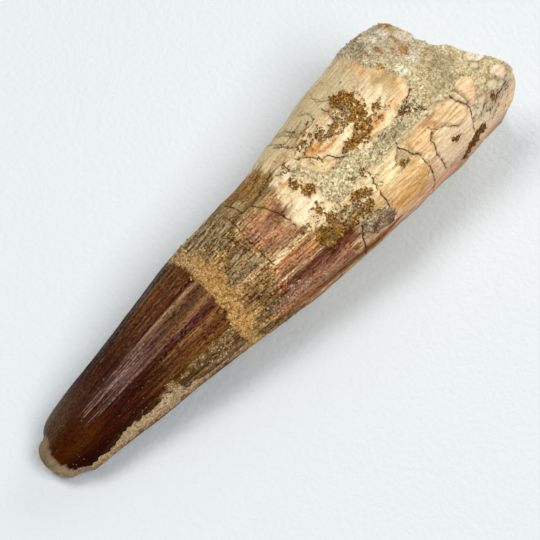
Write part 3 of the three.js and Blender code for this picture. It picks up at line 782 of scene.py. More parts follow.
toothPaint = {
    # colours round the tooth at three places along the crown: (turn, colour)
    "crownAlong": [5, 16, 30],
    # on each ring the greyish stops of the far side, turns 20 to 40, are partly painted sheen, and
    # the pale stop at turn 83 of the last ring is a painted highlight on a ridge
    "crownRings": [
        [(20, "#66584c"), (40, "#665446"), (52, "#5a4030"), (64, "#5a4230"), (80, "#44240e"),
            (95, "#401a04"), (106, "#462002"), (118, "#401c02"), (127, "#340e02"), (140, "#2c0600"),
            (153, "#2a0400"), (165, "#2e1206"), (200, "#240e04"), (300, "#2e1a0c")],
        [(25, "#48362c"), (45, "#42261a"), (60, "#451f06"), (72, "#441c08"), (80, "#3a1408"),
            (85, "#441c12"), (90, "#421c12"), (95, "#361008"), (101, "#401c12"), (106, "#360c04"),
            (113, "#380c04"), (120, "#3c1200"), (128, "#3c1200"), (137, "#401a00"),
            (145, "#4a2c06"), (154, "#583814"), (200, "#28180a"), (300, "#362212")],
        [(22, "#5c4c40"), (37, "#614c3a"), (45, "#60442a"), (55, "#70491c"), (64, "#5a3410"),
            (74, "#64380a"), (79, "#4c2606"), (83, "#9a7450"), (88, "#5a3418"), (92, "#805832"),
            (97, "#7a5230"), (101, "#744a28"), (103.5, "#70442c"), (105, "#6c3a2c"),
            (107, "#6c4228"), (109, "#583014"), (115, "#84582c"), (121, "#805426"),
            (126, "#804e24"), (131, "#845c26"), (136, "#6c4818"), (145, "#785426"),
            (155, "#846238"), (166, "#90704a"), (200, "#3a2816"), (300, "#483420")],
    ],
    # painted highlight on the crown's ridges, painted shade between them and painted highlight
    # along its brightest strip: colour, how much
    "ridgeHighlight": ("#a67c5c", 0.4),
    "furrowShade": ("#2a0a0a", 0.42),
    "stripHighlight": ("#a0745c", 0.1),
    "stripHighlightTurns": (76, 86, 102, 112),
    "stripHighlightAlong": (6, 12, 22, 30),
    # and round the stained neck
    "neckRing": [(10, "#8a6a45"), (45, "#986c38"), (60, "#90703e"), (67, "#8c7046"),
        (75, "#a68456"), (90, "#aa7c50"), (104, "#b0835a"), (110, "#b88f64"), (113, "#d2b082"),
        (118, "#dcc092"), (120, "#ae7a4c"), (127, "#b07a4e"), (133, "#b48456"), (135.3, "#dcba92"),
        (137.2, "#b88c68"), (138.6, "#66301c"), (148, "#743c24"), (153, "#9c684c"),
        (164, "#b08464"), (169, "#a46230"), (175, "#8e5622"), (179, "#d0ae84"), (185, "#a8825e"),
        (200, "#a88a60"), (260, "#9a7a50"), (320, "#8f7048")],
    # where the neck's stain gives way to bone: (turn, along)
    "stainEdge": [(0, 53), (30, 54.4), (52, 55), (62, 55.6), (69, 54), (80, 53.8), (88, 53.2),
        (97, 52.2), (106, 51.8), (112, 52.6), (117, 53), (122, 53.6), (132, 55), (138, 58.6),
        (150, 59.4), (165, 59), (169, 65), (174, 66.5), (178, 59), (186, 53), (200, 50), (260, 54),
        (320, 52)],
    "rootRing": [(0, "#d6c29e"), (40, "#dcc69e"), (56, "#dcc69c"), (68, "#e4cca2"), (90, "#eed6ac"),
        (112, "#eed4a8"), (126, "#ecd4a6"), (140, "#eacd9e"), (158, "#eacaa0"), (172, "#dab28e"),
        (182, "#b98c70"), (200, "#c4a884"), (260, "#c9b48e"), (320, "#c6b08a")],
    # the neck's first, grainy millimetres and the thin line where they end
    "grainyRing": [(20, "#9a8460"), (50, "#a48c62"), (66, "#9a7e54"), (80, "#987848"),
        (110, "#967244"), (135, "#967240"), (150, "#8c6c42"), (170, "#98744a"), (200, "#7a5c3a"),
        (300, "#86683e")],
    "grainyEdge": [(20, 49), (45, 47.8), (58, 50), (62, 49), (66, 45.8), (72, 45.2), (85, 45),
        (104, 44.5), (117, 44.5), (133, 43.9), (140, 43), (158, 41.5), (172, 40), (190, 41),
        (260, 44), (330, 50)],
    "neckLine": "#d4a064",
    "blockRim": "#6e4c2c",
    "sandstone": "#d6c49a",
    "bandRing": [(20, "#a28660"), (60, "#b08a56"), (100, "#b88c4e"), (150, "#cea05a"),
        (260, "#b8905c")],
    # the ledge darkens to a thin line at its lower edge: partly the dark enamel beneath, partly
    # painted shade
    "ledgeRing": [(140, "#cfb28a"), (165, "#cfb28a"), (183, "#c8a67d"), (188, "#a8845e"),
        (191, "#4c3622"), (260, "#a08058")],
    "tipRing": [(60, "#8e7a62"), (110, "#958064"), (160, "#b0977a"), (260, "#a08868")],
    # where the bone's fibres show most, as spots: (along, turn, half length, half width)
    "linedBone": [(69.5, 142, 5, 26), (56, 150, 5, 20), (80, 128, 5, 12), (62, 176, 14, 6)],
    # washes on top, in order: colour, how much, how ragged, how soft, spots
    "washes": [
        ("#ceb78c", 0.7, 0.4, 0.6, [(68, 38, 12, 14), (62, 46, 6, 12)]),
        ("#d8c49c", 0.7, 0.4, 0.5, [(76, 46, 4, 12), (70, 52, 4, 8)]),
        ("#b08454", 0.4, 0.7, 0.5, [(56.6, 60, 3, 6), (63, 52, 1.4, 8), (59, 80, 1.5, 4)]),
        ("#ffe8c4", 0.9, 0.45, 0.35, [(53.6, 104, 1.6, 6), (55.4, 101, 2.2, 6), (57, 113, 1.8, 4),
            (61.8, 92, 1.6, 5), (59.0, 84, 1.0, 4), (55.6, 76, 1.4, 5)]),
        ("#f8e4bc", 0.85, 0.45, 0.4, [(73, 98, 3.6, 4), (66.4, 88, 2, 3), (75.6, 84, 2.4, 6)]),
        ("#f6dca8", 0.85, 0.45, 0.4, [(69.4, 122, 4.4, 5)]),
        ("#e8c080", 0.7, 0.5, 0.5, [(69.5, 139, 4, 5), (67, 133, 3, 4)]),
        ("#f0b670", 0.8, 0.6, 0.5, [(69.4, 152, 4.4, 7), (68.4, 161, 3.4, 6), (72.4, 146, 1.6, 4)]),
        ("#e6b27e", 0.6, 0.4, 0.5, [(80, 124, 4, 5), (82.4, 130, 3, 6), (77, 96, 2, 4),
            (71.5, 99, 2, 3), (77.8, 62, 1.4, 12)]),
        ("#f4d6b6", 0.75, 0.4, 0.5, [(80, 152, 5.4, 15), (90, 163, 5, 14), (86, 140, 3, 8),
            (88, 172, 5, 8)]),
        ("#eaae90", 0.85, 0.45, 0.5, [(76.5, 179, 4.4, 7), (72.2, 173, 2, 4), (86.5, 184, 4, 5)]),
        ("#8f6242", 0.8, 0.4, 0.5, [(54, 183, 8, 4), (44, 180, 5, 8), (64, 181, 4, 4)]),
        ("#dcb888", 0.6, 0.5, 0.4, [(53, 179.5, 3.2, 1.2), (57, 180.5, 1.4, 1.2)]),
        ("#f1dcbc", 0.7, 0.4, 0.5, [(88, 148, 3.4, 12), (92.5, 145, 2, 8)]),
        ("#cab596", 0.5, 0.7, 0.5, [(91.8, 150, 2.0, 6)]),
        ("#f0d8a4", 0.6, 0.5, 0.5, [(68.5, 131, 3, 9), (62.5, 142, 2, 3)]),
        ("#e29c50", 0.85, 1.4, 0.5, [(62.6, 79, 1.4, 5), (65, 86, 1.8, 3), (73, 96, 1.8, 4),
            (54.8, 81, 0.9, 3.4), (61.6, 88, 0.9, 5), (55.2, 151, 0.5, 2.4), (56.3, 152, 0.4, 2),
            (51.2, 128, 1.3, 4), (50, 119, 0.5, 1)]),
        ("#b98e50", 0.65, 0.55, 0.5, [(78.6, 86, 1.8, 8), (77.4, 78, 1.0, 4), (69.4, 66, 1.4, 3)]),
        ("#8a6648", 0.7, 0.4, 0.4, [(61.9, 155, 3.2, 10)]),
        ("#fff0d0", 0.8, 0.4, 0.4, [(48.4, 116, 1.2, 1.4), (53, 134.5, 1.2, 0.9),
            (62.8, 100, 1.6, 4), (56.4, 104, 1.4, 3)]),
        ("#a2583a", 0.5, 0.6, 0.6, [(49, 100, 4, 2.4), (48, 88, 3, 1.6), (50, 94, 3, 1.2),
            (52, 142, 5, 2.4), (50, 159, 5, 1.6)]),
        ("#5a2c14", 0.7, 0.6, 0.5, [(55, 170.5, 8, 1.6), (50.5, 138.5, 5, 1.0),
            (62.5, 172.5, 5, 1.4)]),
    ],
    # the same, but drawn out along the tooth
    "streaks": [
        ("#e0a050", 0.38, 1.0, 0.3, [(69, 140, 4.6, 10), (70, 160, 4.4, 8), (75, 128, 3, 6)]),
        ("#fbe6ba", 0.4, 1.0, 0.3, [(68, 126, 3.4, 8), (68, 134, 3, 5)]),
        ("#521e16", 0.7, 1.0, 0.3, [(48.6, 142, 5, 5), (54, 146, 4, 8), (49, 96, 4, 6)]),
        ("#b8826a", 0.45, 1.0, 0.3, [(49, 153, 6, 7), (48, 88, 4, 12), (49, 126, 5, 8)]),
        ("#4c3a20", 0.6, 0.9, 0.3, [(42, 64, 5, 14), (41.4, 96, 3, 12), (44, 44, 6, 14)]),
        ("#c4a678", 0.35, 0.9, 0.3, [(42, 56, 5, 18), (42, 104, 3, 12)]),
    ],
    # on the sandstone alone
    "matrixWashes": [
        ("#bdaf95", 0.8, 0.4, 0.6, [(84, 46, 7, 28), (85, 74, 4, 14)]),
        ("#ebe0cc", 0.85, 0.5, 0.5, [(82.8, 53, 1.0, 4), (84, 85.5, 1.1, 3), (82.5, 46, 0.7, 4),
            (86, 70, 0.8, 6), (84.6, 57, 0.7, 6), (81.2, 86, 0.6, 4)]),
        ("#b47c38", 0.8, 0.55, 0.4, [(81.8, 64, 0.45, 5.4), (79.3, 75.5, 0.7, 3.2),
            (86.4, 57, 0.5, 8), (84.2, 79, 0.6, 3.4), (83.0, 73, 0.3, 4), (84.9, 67, 0.3, 5),
            (80.2, 58, 0.3, 4), (85.4, 96, 0.3, 3), (82.6, 41, 1.0, 3), (85.7, 89.5, 0.4, 1.4),
            (86.2, 48, 0.6, 4)]),
        ("#9c8c68", 0.6, 0.45, 0.5, [(86, 100, 3, 10), (84, 110, 3, 4), (80.5, 45, 1.6, 14),
            (72, 110, 4, 3)]),
        ("#ddcca2", 0.6, 0.5, 0.5, [(61, 106, 3, 6), (58.6, 98, 1, 6)]),
        ("#96785a", 0.9, 0.3, 0.4, [(62.6, 158, 4, 12)]),
        ("#6e4c42", 0.85, 0.45, 0.4, [(61.6, 154, 1.3, 4.6), (60.0, 147, 0.5, 2),
            (64.4, 163, 0.8, 3)]),
        ("#dcc3a2", 0.7, 0.4, 0.5, [(91, 142, 4, 9), (88, 157, 2, 4)]),
    ],
    # on the enamel; the first wash's long thin dark lines, in the furrows between ridges, are
    # painted shade
    "crownWashes": [
        ("#2a0704", 0.75, 0.5, 0.5, [(21.4, 110.5, 5.4, 2.0), (22.5, 77, 2, 1.2), (12, 121, 4, 4),
            (24, 88.6, 4, 0.9), (18, 105.5, 6, 1.0), (18, 73, 6, 0.9), (24, 63, 7, 0.8)]),
        ("#582034", 0.75, 0.9, 0.5, [(29.8, 104.8, 2.0, 2.2), (26.8, 105.6, 2.6, 1.2),
            (30.6, 113, 0.9, 1.6)]),
        ("#6e3a10", 0.6, 0.5, 0.5, [(27, 72, 7, 2.6), (28, 56, 6, 4)]),
        ("#5c3008", 0.4, 0.9, 0.8, [(7, 112, 4, 12)]),
        ("#7c2c14", 0.8, 0.5, 0.5, [(25.8, 123, 0.5, 1.2), (28.5, 125, 0.6, 1.2),
            (31.5, 126, 2.4, 1.2)]),
        ("#b08c58", 0.7, 0.7, 0.5, [(19.4, 146, 0.7, 4), (21.2, 143.5, 0.8, 6), (24, 145, 0.6, 3),
            (25.8, 140, 0.9, 2), (27.7, 142, 0.6, 4), (29.8, 143, 0.7, 5), (32.6, 143, 1.5, 7)]),
    ],
}


def colourRound(stops, turn):
    # colour at each turn, from listed stops
    places = [place for place, _ in stops]
    colours = np.array([linearColour(colour) for _, colour in stops])
    return np.column_stack([np.interp(turn, places, channel, period=360) for channel in colours.T])


def layOver(paint, colour, share):
    # the colour is one for all, such as "#d6c49a", or one for each vertex
    if isinstance(colour, str):
        colour = linearColour(colour)
    paint += (colour - paint) * np.clip(share, 0, 1)[:, None]


def layWashes(paint, washes, skin, rough, keep=1.0):
    for colour, share, raggedness, soft, spots in washes:
        layOver(paint, colour, spotCover(spots, skin, raggedness, soft, rough) * share * keep)


def paintCrown(skin, streaky):
    turn = skin.turn + 0.8 * skin.streak
    paint, middleRing, lastRing = [colourRound(ring, turn) for ring in toothPaint["crownRings"]]
    first, middle, last = toothPaint["crownAlong"]
    place = skin.along + 3.2 * streaky
    layOver(paint, middleRing, rise(first, middle, place))
    layOver(paint, lastRing, rise(middle, last, place))
    # pale ridge tops and the bright strip are painted highlights, the dark furrows between ridges
    # painted shade
    covers = {
        "furrowShade": rise(0.13, 0.02, skin.ridge) * rise(5, 14, skin.along),
        "ridgeHighlight": rise(0.1, 0.24, skin.ridge) * rise(8, 26, skin.along),
        "stripHighlight": within(skin.turn, *toothPaint["stripHighlightTurns"]) *
                 within(skin.along, *toothPaint["stripHighlightAlong"]) *
                 rise(0.2, 0.8, streaky + 2.4 * skin.ridge),
    }
    for name, cover in covers.items():
        colour, share = toothPaint[name]
        layOver(paint, colour, share * cover)
    layWashes(paint, toothPaint["crownWashes"], skin, streaky)
    uneven = (0.12 + 0.3 * rise(6, 20, skin.along)) * streaky
    return paint * np.clip(1 + uneven, 0.25, 2.4)[:, None]


def paintNeck(paint, skin, cover, streaky):
    # brown stain, a grainy strip above the ring of cement, and the pale line where that ends
    turn = skin.turn + 0.7 * skin.streak
    stainEdge = curveRound(toothPaint["stainEdge"], skin.turn)
    stain = rise(0.9, -0.9, skin.along - stainEdge + 1.4 * streaky + 0.4 * skin.fine)
    layOver(paint, colourRound(toothPaint["neckRing"], turn), stain)
    grainyEdge = curveRound(toothPaint["grainyEdge"], skin.turn)
    beforeEdge = grainyEdge - skin.along + 0.5 * streaky + 0.25 * skin.fine
    grainy = 0.92 * rise(-0.4, 0.4, beforeEdge)
    layOver(paint, colourRound(toothPaint["grainyRing"], turn), grainy)
    line = lineAt(beforeEdge, 0.22) * within(skin.turn, 66, 74, 136, 142)
    layOver(paint, toothPaint["neckLine"], 0.6 * line * rise(-0.6, 0.3, skin.fine))
    mottled = 0.4 * streaky + mixed(skin, fine=0.42, crumb=0.34, lump=0.15)
    paint *= np.clip(1 + cover["neck"] * mottled, 0.3, 2)[:, None]
    return stain


def paintTooth(skin, cover, inside):
    plain = mixed(skin, fine=1.0, lump=0.6)
    streaky = mixed(skin, streak=0.7, fineStreak=0.6)
    paint = colourRound(toothPaint["rootRing"], skin.turn)
    stain = paintNeck(paint, skin, cover, streaky)
    layWashes(paint, toothPaint["washes"], skin, 0.5 * plain + 0.7 * streaky)
    layWashes(paint, toothPaint["streaks"], skin, streaky)
    for (colour, share, rim, _), depth in zip(boneBlocks, cover["blockDepths"]):
        layOver(paint, colour, share * rise(-0.15, 0.15, depth))
        edge = lineAt(depth, 0.26) * rise(-1.2, 0.2, skin.lump)
        layOver(paint, toothPaint["blockRim"], rim * edge)
    paint *= (1 + (0.1 + 0.2 * stain) * streaky)[:, None]
    onCrown = rise(crown["length"] + 0.3, crown["length"] - 0.3, skin.along)
    layOver(paint, paintCrown(skin, streaky), onCrown)
    layOver(paint, toothPaint["sandstone"], cover["sandstone"])
    layWashes(paint, toothPaint["matrixWashes"], skin, plain, cover["sandstone"])
    for (colour, _), depth in zip(boneIslands, cover["islandDepths"]):
        layOver(paint, colour, rise(-0.1, 0.14, depth))
        edge = lineAt(depth + 0.1, 0.24) * rise(-1.0, 0.3, skin.lump)
        layOver(paint, toothPaint["blockRim"], 0.5 * edge)
    for part, ring in (("band", "bandRing"), ("bareLedge", "ledgeRing"), ("tip", "tipRing")):
        layOver(paint, colourRound(toothPaint[ring], skin.turn), cover[part])
    layOver(paint, toothPaint["sandstone"], inside)
    return paint, stain


boxInset = 0.00001       # metres that the finish stays inside the CAD box


def keepInside(places, lowest=boxInset):
    low, high = np.array(cadLow) + boxInset, np.array(cadHigh) - boxInset
    low[2] = lowest
    return np.clip(places, low, high)


def writeSkin(tooth, places, paint, masks, fibre):
    mesh = tooth.data
    scale = (cadHigh[0] - cadLow[0]) / toothShape["length"]
    places = (places - (toothShape["length"] / 2, toothShape["sideways"], 0)) * scale
    mesh.vertices.foreach_set("co", keepInside(places, 0).ravel())
    writeTint(mesh, paint)
    grain = mesh.attributes.new("fibre", "FLOAT_VECTOR", "POINT")
    grain.data.foreach_set("vector", fibre.ravel())
    for name, values in masks.items():
        mesh.attributes.new(name, "FLOAT", "POINT").data.foreach_set("value", values)
    mesh.update()
    return places


skinLook = {
    # noises: how many to the mm, octaves, roughness
    "fine": (1.6, 5, 0.7),
    "grit": (3.8, 3, 0.7),
    "speckle": (2.8, 1.2, 0.6),
    # the same in the fibres' own space, which is drawn out; dashes and threads are shorter
    "streak": (1.8, 4, 0.7),
    "hair": (3.3, 1.5, 0.6),
    "dash": (3.4, 1.5, 0.6),
    "thread": (3.6, 1, 0.5),
    "dashShortening": (9, 1, 1),
    "threadShortening": (12, 1, 1),
    "sandGrains": {1.9: 0.3, 3.1: 0.7, 4.6: 0.6},        # grains to the mm, how much of each
    # how much each noise changes the tone, everywhere and then in the painted parts
    "streakTone": {"base": 0.54, "stain": 1.08, "lined": 1.17, "neck": 0.54},
    "hairTone": {"base": 0.22, "stain": 0.8, "lined": 0.85, "neck": 0.75},
    "fineTone": {"base": 0.4},
    "speckleTone": {"base": 0.18, "stain": 0.34, "neck": 0.32, "glaze": -0.04},
    "dashTone": {"glaze": 0.3, "neck": 0.25, "stain": 0.25},
    "threadTone": {"glaze": 0.6, "neck": 0.4, "stain": 0.45},
    # what is laid over the paint: colour, how much
    "darkHair": ("#2a0608", 0.45),
    # the next is painted highlight: pale flecks on the enamel's fibres
    "glintFleck": ("#c8a88c", 0.12),
    # the next is painted highlight: thin pale lines in the bright strip
    "glintLine": ("#d4aa98", 0.42),
    "dust": ("#b09474", 0.6),
    "paleNeckHair": ("#dcbc8c", 0.22),
    "darkNeckHair": ("#54301a", 0.5),
    "sandFleck": ("#f2dcb0", 0.75),
    "vein": ("#80603c", 0.5),
    "speck": ("#8a5a2c", 0.6),
    "dirt": ("#9c6630", 0.75),
    "crustShade": ("#523410", 0.42),
    "crustDust": ("#a8926a", 0.22),
    "crustCrumb": ("#ecdab4", 0.7),
    "darkCrust": ("#64361e", 0.5),
    "crackHalo": ("#7c5028", 0.4),
    "crack": ("#2e1a0e", 0.85),
    "crustStops": [(0.37, "#2e1806"), (0.43, "#68420c"), (0.49, "#ac7420"), (0.55, "#d09640"),
                   (0.61, "#e8be78"), (0.69, "#f4e0b8")],
    "warmth": "#fffefc",
    "sheen": 0.03,
    "polish": 0.14,
    "polishRoughness": 0.16,
    "bumpStrength": 0.9,
}


class SkinWires:
    # the noises and painted parts that the tooth's material is made of

    def __init__(self, m):
        self.m = m
        self.place = m.millimetres()
        fibre = m.painted("fibre", "Vector")
        dashed = m.stretch(fibre, skinLook["dashShortening"])
        threaded = m.stretch(fibre, skinLook["threadShortening"])
        self.fine = m.mottle(self.place, *skinLook["fine"])
        self.grit = m.mottle(self.place, *skinLook["grit"])
        self.speckle = m.mottle(self.place, *skinLook["speckle"]).between(0.36, 0.64)
        self.streak = m.mottle(fibre, *skinLook["streak"])
        self.hair = m.mottle(fibre, *skinLook["hair"])
        self.sharpHair = self.hair.between(0.38, 0.62)
        self.dash = m.mottle(dashed, *skinLook["dash"]).between(0.38, 0.62)
        self.thread = m.mottle(threaded, *skinLook["thread"]).between(0.4, 0.6)
        edge = 0.5 * (self.grit - 0.5) + 0.3 * (self.fine - 0.5)
        self.glaze = (m.painted("glaze") + edge).between(0.4, 0.6)
        self.sandy = (m.painted("sandy") + edge).between(0.38, 0.62)
        self.bone = (1 - self.sandy) * (1 - self.glaze)
        for part in ("stain", "neck", "lined", "calm", "polish"):
            setattr(self, part, m.painted(part))
        # pale flecks on the enamel's fibres, painted glints
        self.flecks = self.hair.between(0.48, 0.38) * self.dash * self.glaze * self.lined

    def toneFrom(self, name):
        # a noise, by how much each painted part has of it
        shares = dict(skinLook[name + "Tone"])
        amount = shares.pop("base", 0)
        for part, share in shares.items():
            amount = amount + share * getattr(self, part)
        noiseName = "sharpHair" if name == "hair" else name
        return (getattr(self, noiseName) - 0.5) * amount

    def dots(self, scale, rim, core, patches):
        # dots that come in patches
        return self.m.dots(self.place, scale, rim, core) * self.patches(*patches)

    def patches(self, scale, low, high, detail=3.0, roughness=0.55):
        return self.m.mottle(self.place, scale, detail, roughness).between(low, high)

    def lay(self, colour, name, cover):
        over, share = skinLook[name]
        return self.m.mix(cover * share, colour, over)


def skinTone(wires):
    # bone and enamel have fibres, sandstone has grains
    lines = wires.toneFrom("streak") + wires.toneFrom("hair")
    spots = wires.toneFrom("fine") + wires.toneFrom("speckle")
    dashes = wires.toneFrom("dash") + wires.toneFrom("thread")
    dashes = dashes * (1 - 0.8 * wires.calm * (1 - wires.glaze))
    # the enamel's pale flecks lighten it as painted glints
    boneTone = 1.0 - 0.14 * wires.glaze + 0.5 * wires.flecks + dashes
    boneTone = (boneTone + (lines + spots) * (1 - wires.calm)).atLeast(0.15)
    sandTone = 0.22 + 0.65 * (wires.speckle - 0.5)
    for scale, share in skinLook["sandGrains"].items():
        sandTone = sandTone + share * wires.m.grainTone(wires.place, scale)
    sandTone = sandTone.atLeast(0.35)
    sandTone = sandTone + (1.0 - sandTone) * wires.calm
    return boneTone * (1 - wires.sandy) + sandTone * wires.sandy


def layFibres(wires, colour):
    hair, glaze, stain = wires.hair, wires.glaze, wires.stain
    colour = wires.lay(colour, "darkHair", hair.between(0.54, 0.68) * glaze * wires.lined)
    # painted glints: pale flecks on the enamel
    colour = wires.lay(colour, "glintFleck", wires.flecks)
    # thin pale lines where the highlight strip is, painted highlights
    glintLines = hair.between(0.52, 0.38) * (0.3 + 0.7 * wires.thread)
    colour = wires.lay(colour, "glintLine", glintLines * wires.polish.between(0.4, 1) * glaze)
    colour = wires.lay(colour, "dust", wires.dots(1.5, 0.16, 0.09, (0.7, 0.48, 0.56)) * glaze)
    colour = wires.lay(colour, "paleNeckHair", hair.between(0.44, 0.3) * stain)
    return wires.lay(colour, "darkNeckHair", hair.between(0.55, 0.66) * stain)


def layBoneMarks(wires, colour):
    m, place = wires.m, wires.place
    fleckPlaces = (m.painted("crumby") + 0.8 * wires.neck + 0.45 * wires.stain).between(0.1, 0.8)
    flecks = wires.dots(2.4, 0.2, 0.12, (1.1, 0.48, 0.6))
    colour = wires.lay(colour, "sandFleck", flecks * fleckPlaces)
    # fine brown veins in the bone, along the edges of large warped cells
    warp = m.stretch(m.mottle(place, 0.9, 3), (2.4, 2.4, 2.4))
    warped = m.add("ShaderNodeVectorMath", {"operation": "ADD"}, {0: place, 1: warp})
    cells = m.add("ShaderNodeTexVoronoi", {"feature": "DISTANCE_TO_EDGE"},
                  {"Vector": warped, "Scale": 0.34}, output="Distance")
    veins = cells.between(0.035, 0.008) * wires.patches(0.3, 0.48, 0.62, 2)
    colour = wires.lay(colour, "vein", veins * wires.bone)
    specks = wires.dots(1.3, 0.16, 0.10, (0.5, 0.5, 0.6, 2))
    colour = wires.lay(colour, "speck", specks * wires.bone)
    dirt = wires.dots(1.9, 0.3, 0.16, (0.9, 0.5, 0.62, 4, 0.7))
    return wires.lay(colour, "dirt", dirt * wires.bone * m.painted("dirt"))


def layCrust(wires, colour):
    m = wires.m
    edge = 1.9 * (wires.grit - 0.5) + 1.2 * (wires.fine - 0.5)
    crust = (m.painted("crust") + edge).between(0.42, 0.56)
    rust = m.add("ShaderNodeValToRGB", {"stops": skinLook["crustStops"]},
                 {"Fac": m.mottle(wires.place, 3.0, 3, 0.8)})
    rust = wires.lay(rust, "crustShade", wires.patches(0.9, 0.42, 0.6))
    rust = wires.lay(rust, "crustDust", wires.patches(0.6, 0.52, 0.64))
    rust = wires.lay(rust, "crustCrumb", wires.dots(2.0, 0.26, 0.14, (1.3, 0.5, 0.6, 2)))
    colour = m.mix(crust, colour, rust)
    return wires.lay(colour, "darkCrust", crust * m.painted("crustDark")), crust


def layCracks(wires, colour):
    m = wires.m
    across = abs(m.painted("crackAcross"))
    across = across + 0.22 * (wires.grit - 0.5) + 0.2 * (wires.fine - 0.5)
    power = m.painted("crackNear") * wires.patches(1.0, 0.28, 0.5, 3, 0.6)
    colour = wires.lay(colour, "crackHalo", across.between(0.4, 0.08) * power)
    # a strong crack is wider
    line = across.between(0.02 + 0.09 * power, 0.005 + 0.03 * power) * power.between(0.02, 0.5)
    return wires.lay(colour, "crack", line), line


def makeToothMaterial():
    m = MaterialNodes("fossilTooth")
    wires = SkinWires(m)
    glaze, sandy, hair, grit = wires.glaze, wires.sandy, wires.hair, wires.grit

    # the skin darkens towards orange and lightens towards white
    tone, lift = skinTone(wires), 1.04 - 0.02 * sandy
    colour = m.toned(m.painted("tint", "Color"), lift * tone ** 0.72, lift * tone,
                     (lift - 0.03) * tone ** 1.34)
    colour = layFibres(wires, colour)
    colour = layBoneMarks(wires, colour)
    colour, crust = layCrust(wires, colour)
    colour, crackLine = layCracks(wires, colour)
    colour = m.mix(1.0, colour, skinLook["warmth"], "MULTIPLY")

    roughness = 0.5 + 0.4 * sandy - 0.26 * glaze + 0.25 * (wires.fine - 0.5) + 0.2 * (hair - 0.5)
    roughness = roughness * (1 - crust) + 0.85 * crust
    fibres = 0.2 * wires.streak + 0.14 * hair
    fibres = fibres + 0.05 * wires.speckle * (1 - 0.7 * glaze) + 0.03 * wires.dash * glaze
    grains = 0.2 * m.grainTone(wires.place, 3.1) + 0.16 * grit
    height = fibres * (1 - sandy) + grains * sandy + 0.5 * grit * crust - 0.2 * crackLine
    glints = wires.polish * glaze * (0.1 + 1.5 * wires.sharpHair * wires.sharpHair)
    return m.finish(Base_Color=colour, Roughness=roughness,
                    Normal=m.bump(skinLook["bumpStrength"], height),
                    Specular_IOR_Level=skinLook["sheen"],
                    Coat_Weight=glints * skinLook["polish"],
                    Coat_Roughness=skinLook["polishRoughness"])


def skinMasks(skin, cover, stain, inside):
    # what the material reads at each vertex
    along, turn = skin.along, skin.turn
    onCrown = rise(crown["length"] + 0.4, crown["length"] - 0.2, along)
    glaze = (1 - cover["tip"]) * (1 - cover["bareLedge"]) * (1 - cover["band"]) * onCrown
    sandy = np.maximum.reduce([cover["band"], cover["bareLedge"], cover["sandstone"], inside])
    linedCrown = 0.75 * rise(6, 18, along) + 0.35 * rise(18, 27, along)
    linedBone = 0.3 * spotCover(toothPaint["linedBone"], skin, 0.2, 0.5, skin.lump)
    calcite = rise(80, 84, along) * rise(82, 70, turn) * cover["sandstone"]
    calm = [cover["tip"], 0.5 * cover["ledge"] * rise(20, 9, along),
            0.5 * glaze * rise(14, 6, along), 0.55 * calcite, 0.3 * sandy * rise(79, 82, along)]
    # the strip where the painted highlight lines lie, with the most coat
    highlightStrip = within(turn, 70, 84, 100, 110) * within(along, 5, 10, 20, 30)
    return {
        "glaze": glaze,
        "sandy": sandy,
        "crumby": np.maximum(cover["band"], cover["bareLedge"]),
        "stain": stain * (1 - sandy) * (1 - glaze),
        "neck": cover["neck"],
        "lined": np.where(along < crown["length"], linedCrown, linedBone),
        "calm": np.maximum.reduce(calm),
        "polish": np.maximum(0.05 + 0.2 * rise(60, 40, turn), highlightStrip),
        "dirt": cover["dirt"],
        "crust": cover["crustField"] * (skin.share > 0.98),
        "crustDark": cover["crustDark"],
        "crackAcross": cover["crackAcross"],
        "crackNear": cover["crackNear"] * (skin.share > 0.9),
    }


def makeTooth():
    columns, rings = toothShape["columns"], toothShape["rings"]
    tooth = addObject("fossilTooth", bpy.ops.mesh.primitive_uv_sphere_add, segments=columns,
                      ring_count=rings, radius=1)
    ring, turn = readSphere(tooth, columns, rings)
    along, tipAngle, faceShare = rowPlaces(ring, turn)
    # the rounded tip keeps the noises of the ring that it starts from
    skin = ToothSkin(along, turn, faceShare)
    skin.along = along - toothShape["tipRounding"] * np.cos(tipAngle)
    skin.ridge = fluteRidges(skin)
    cover = coverPlaces(skin)
    places, inside = placeSkin(skin, cover, tipAngle)
    skin.paint, stain = paintTooth(skin, cover, inside)
    masks = skinMasks(skin, cover, stain, inside)
    skin.places = writeSkin(tooth, places, skin.paint, masks, skin.fibre)
    bpy.ops.object.shade_smooth()
    tooth.data.materials.append(makeToothMaterial())
    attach(tooth, "root")
    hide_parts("tooth")
    skin.normals = readVertices(tooth.data, "normal")
    skin.area = skin.perDegree * skin.share      # how much skin one vertex stands for
    print("tooth made:", len(turn), "vertices")
    return skin, cover


grainPiles = [
    # where they lie, how many, smallest and largest radius in mm, their own colour, how much of it
    ("looseSand", 4200, 0.07, 0.18, "#e2d8c2", 0.25),
    ("band", 1400, 0.07, 0.2, "#e4ba7c", 0.35),
    ("ledge", 620, 0.08, 0.20, "#dcc8a6", 0.3),
    ("neck", 1100, 0.06, 0.18, "#c9a468", 0.4),
    ("crumbs", 640, 0.06, 0.22, "#b09064", 0.75),
    ("paleCrumbs", 90, 0.07, 0.17, "#d6c4b0", 0.8),
]

# where pale crumbs and sandy ones lie, as spots
paleCrumbSpots = [
    (45.0, 144.6, 0.4, 1.4), (45.6, 146.4, 0.5, 1.2), (46.6, 147, 0.6, 1.6), (47.5, 154, 0.5, 2.4),
    (45.2, 149.6, 0.6, 1), (46.0, 92, 0.4, 0.8), (46.9, 92.4, 0.5, 0.8), (47.8, 93, 0.4, 0.8),
    (50.4, 160, 0.6, 2),
]

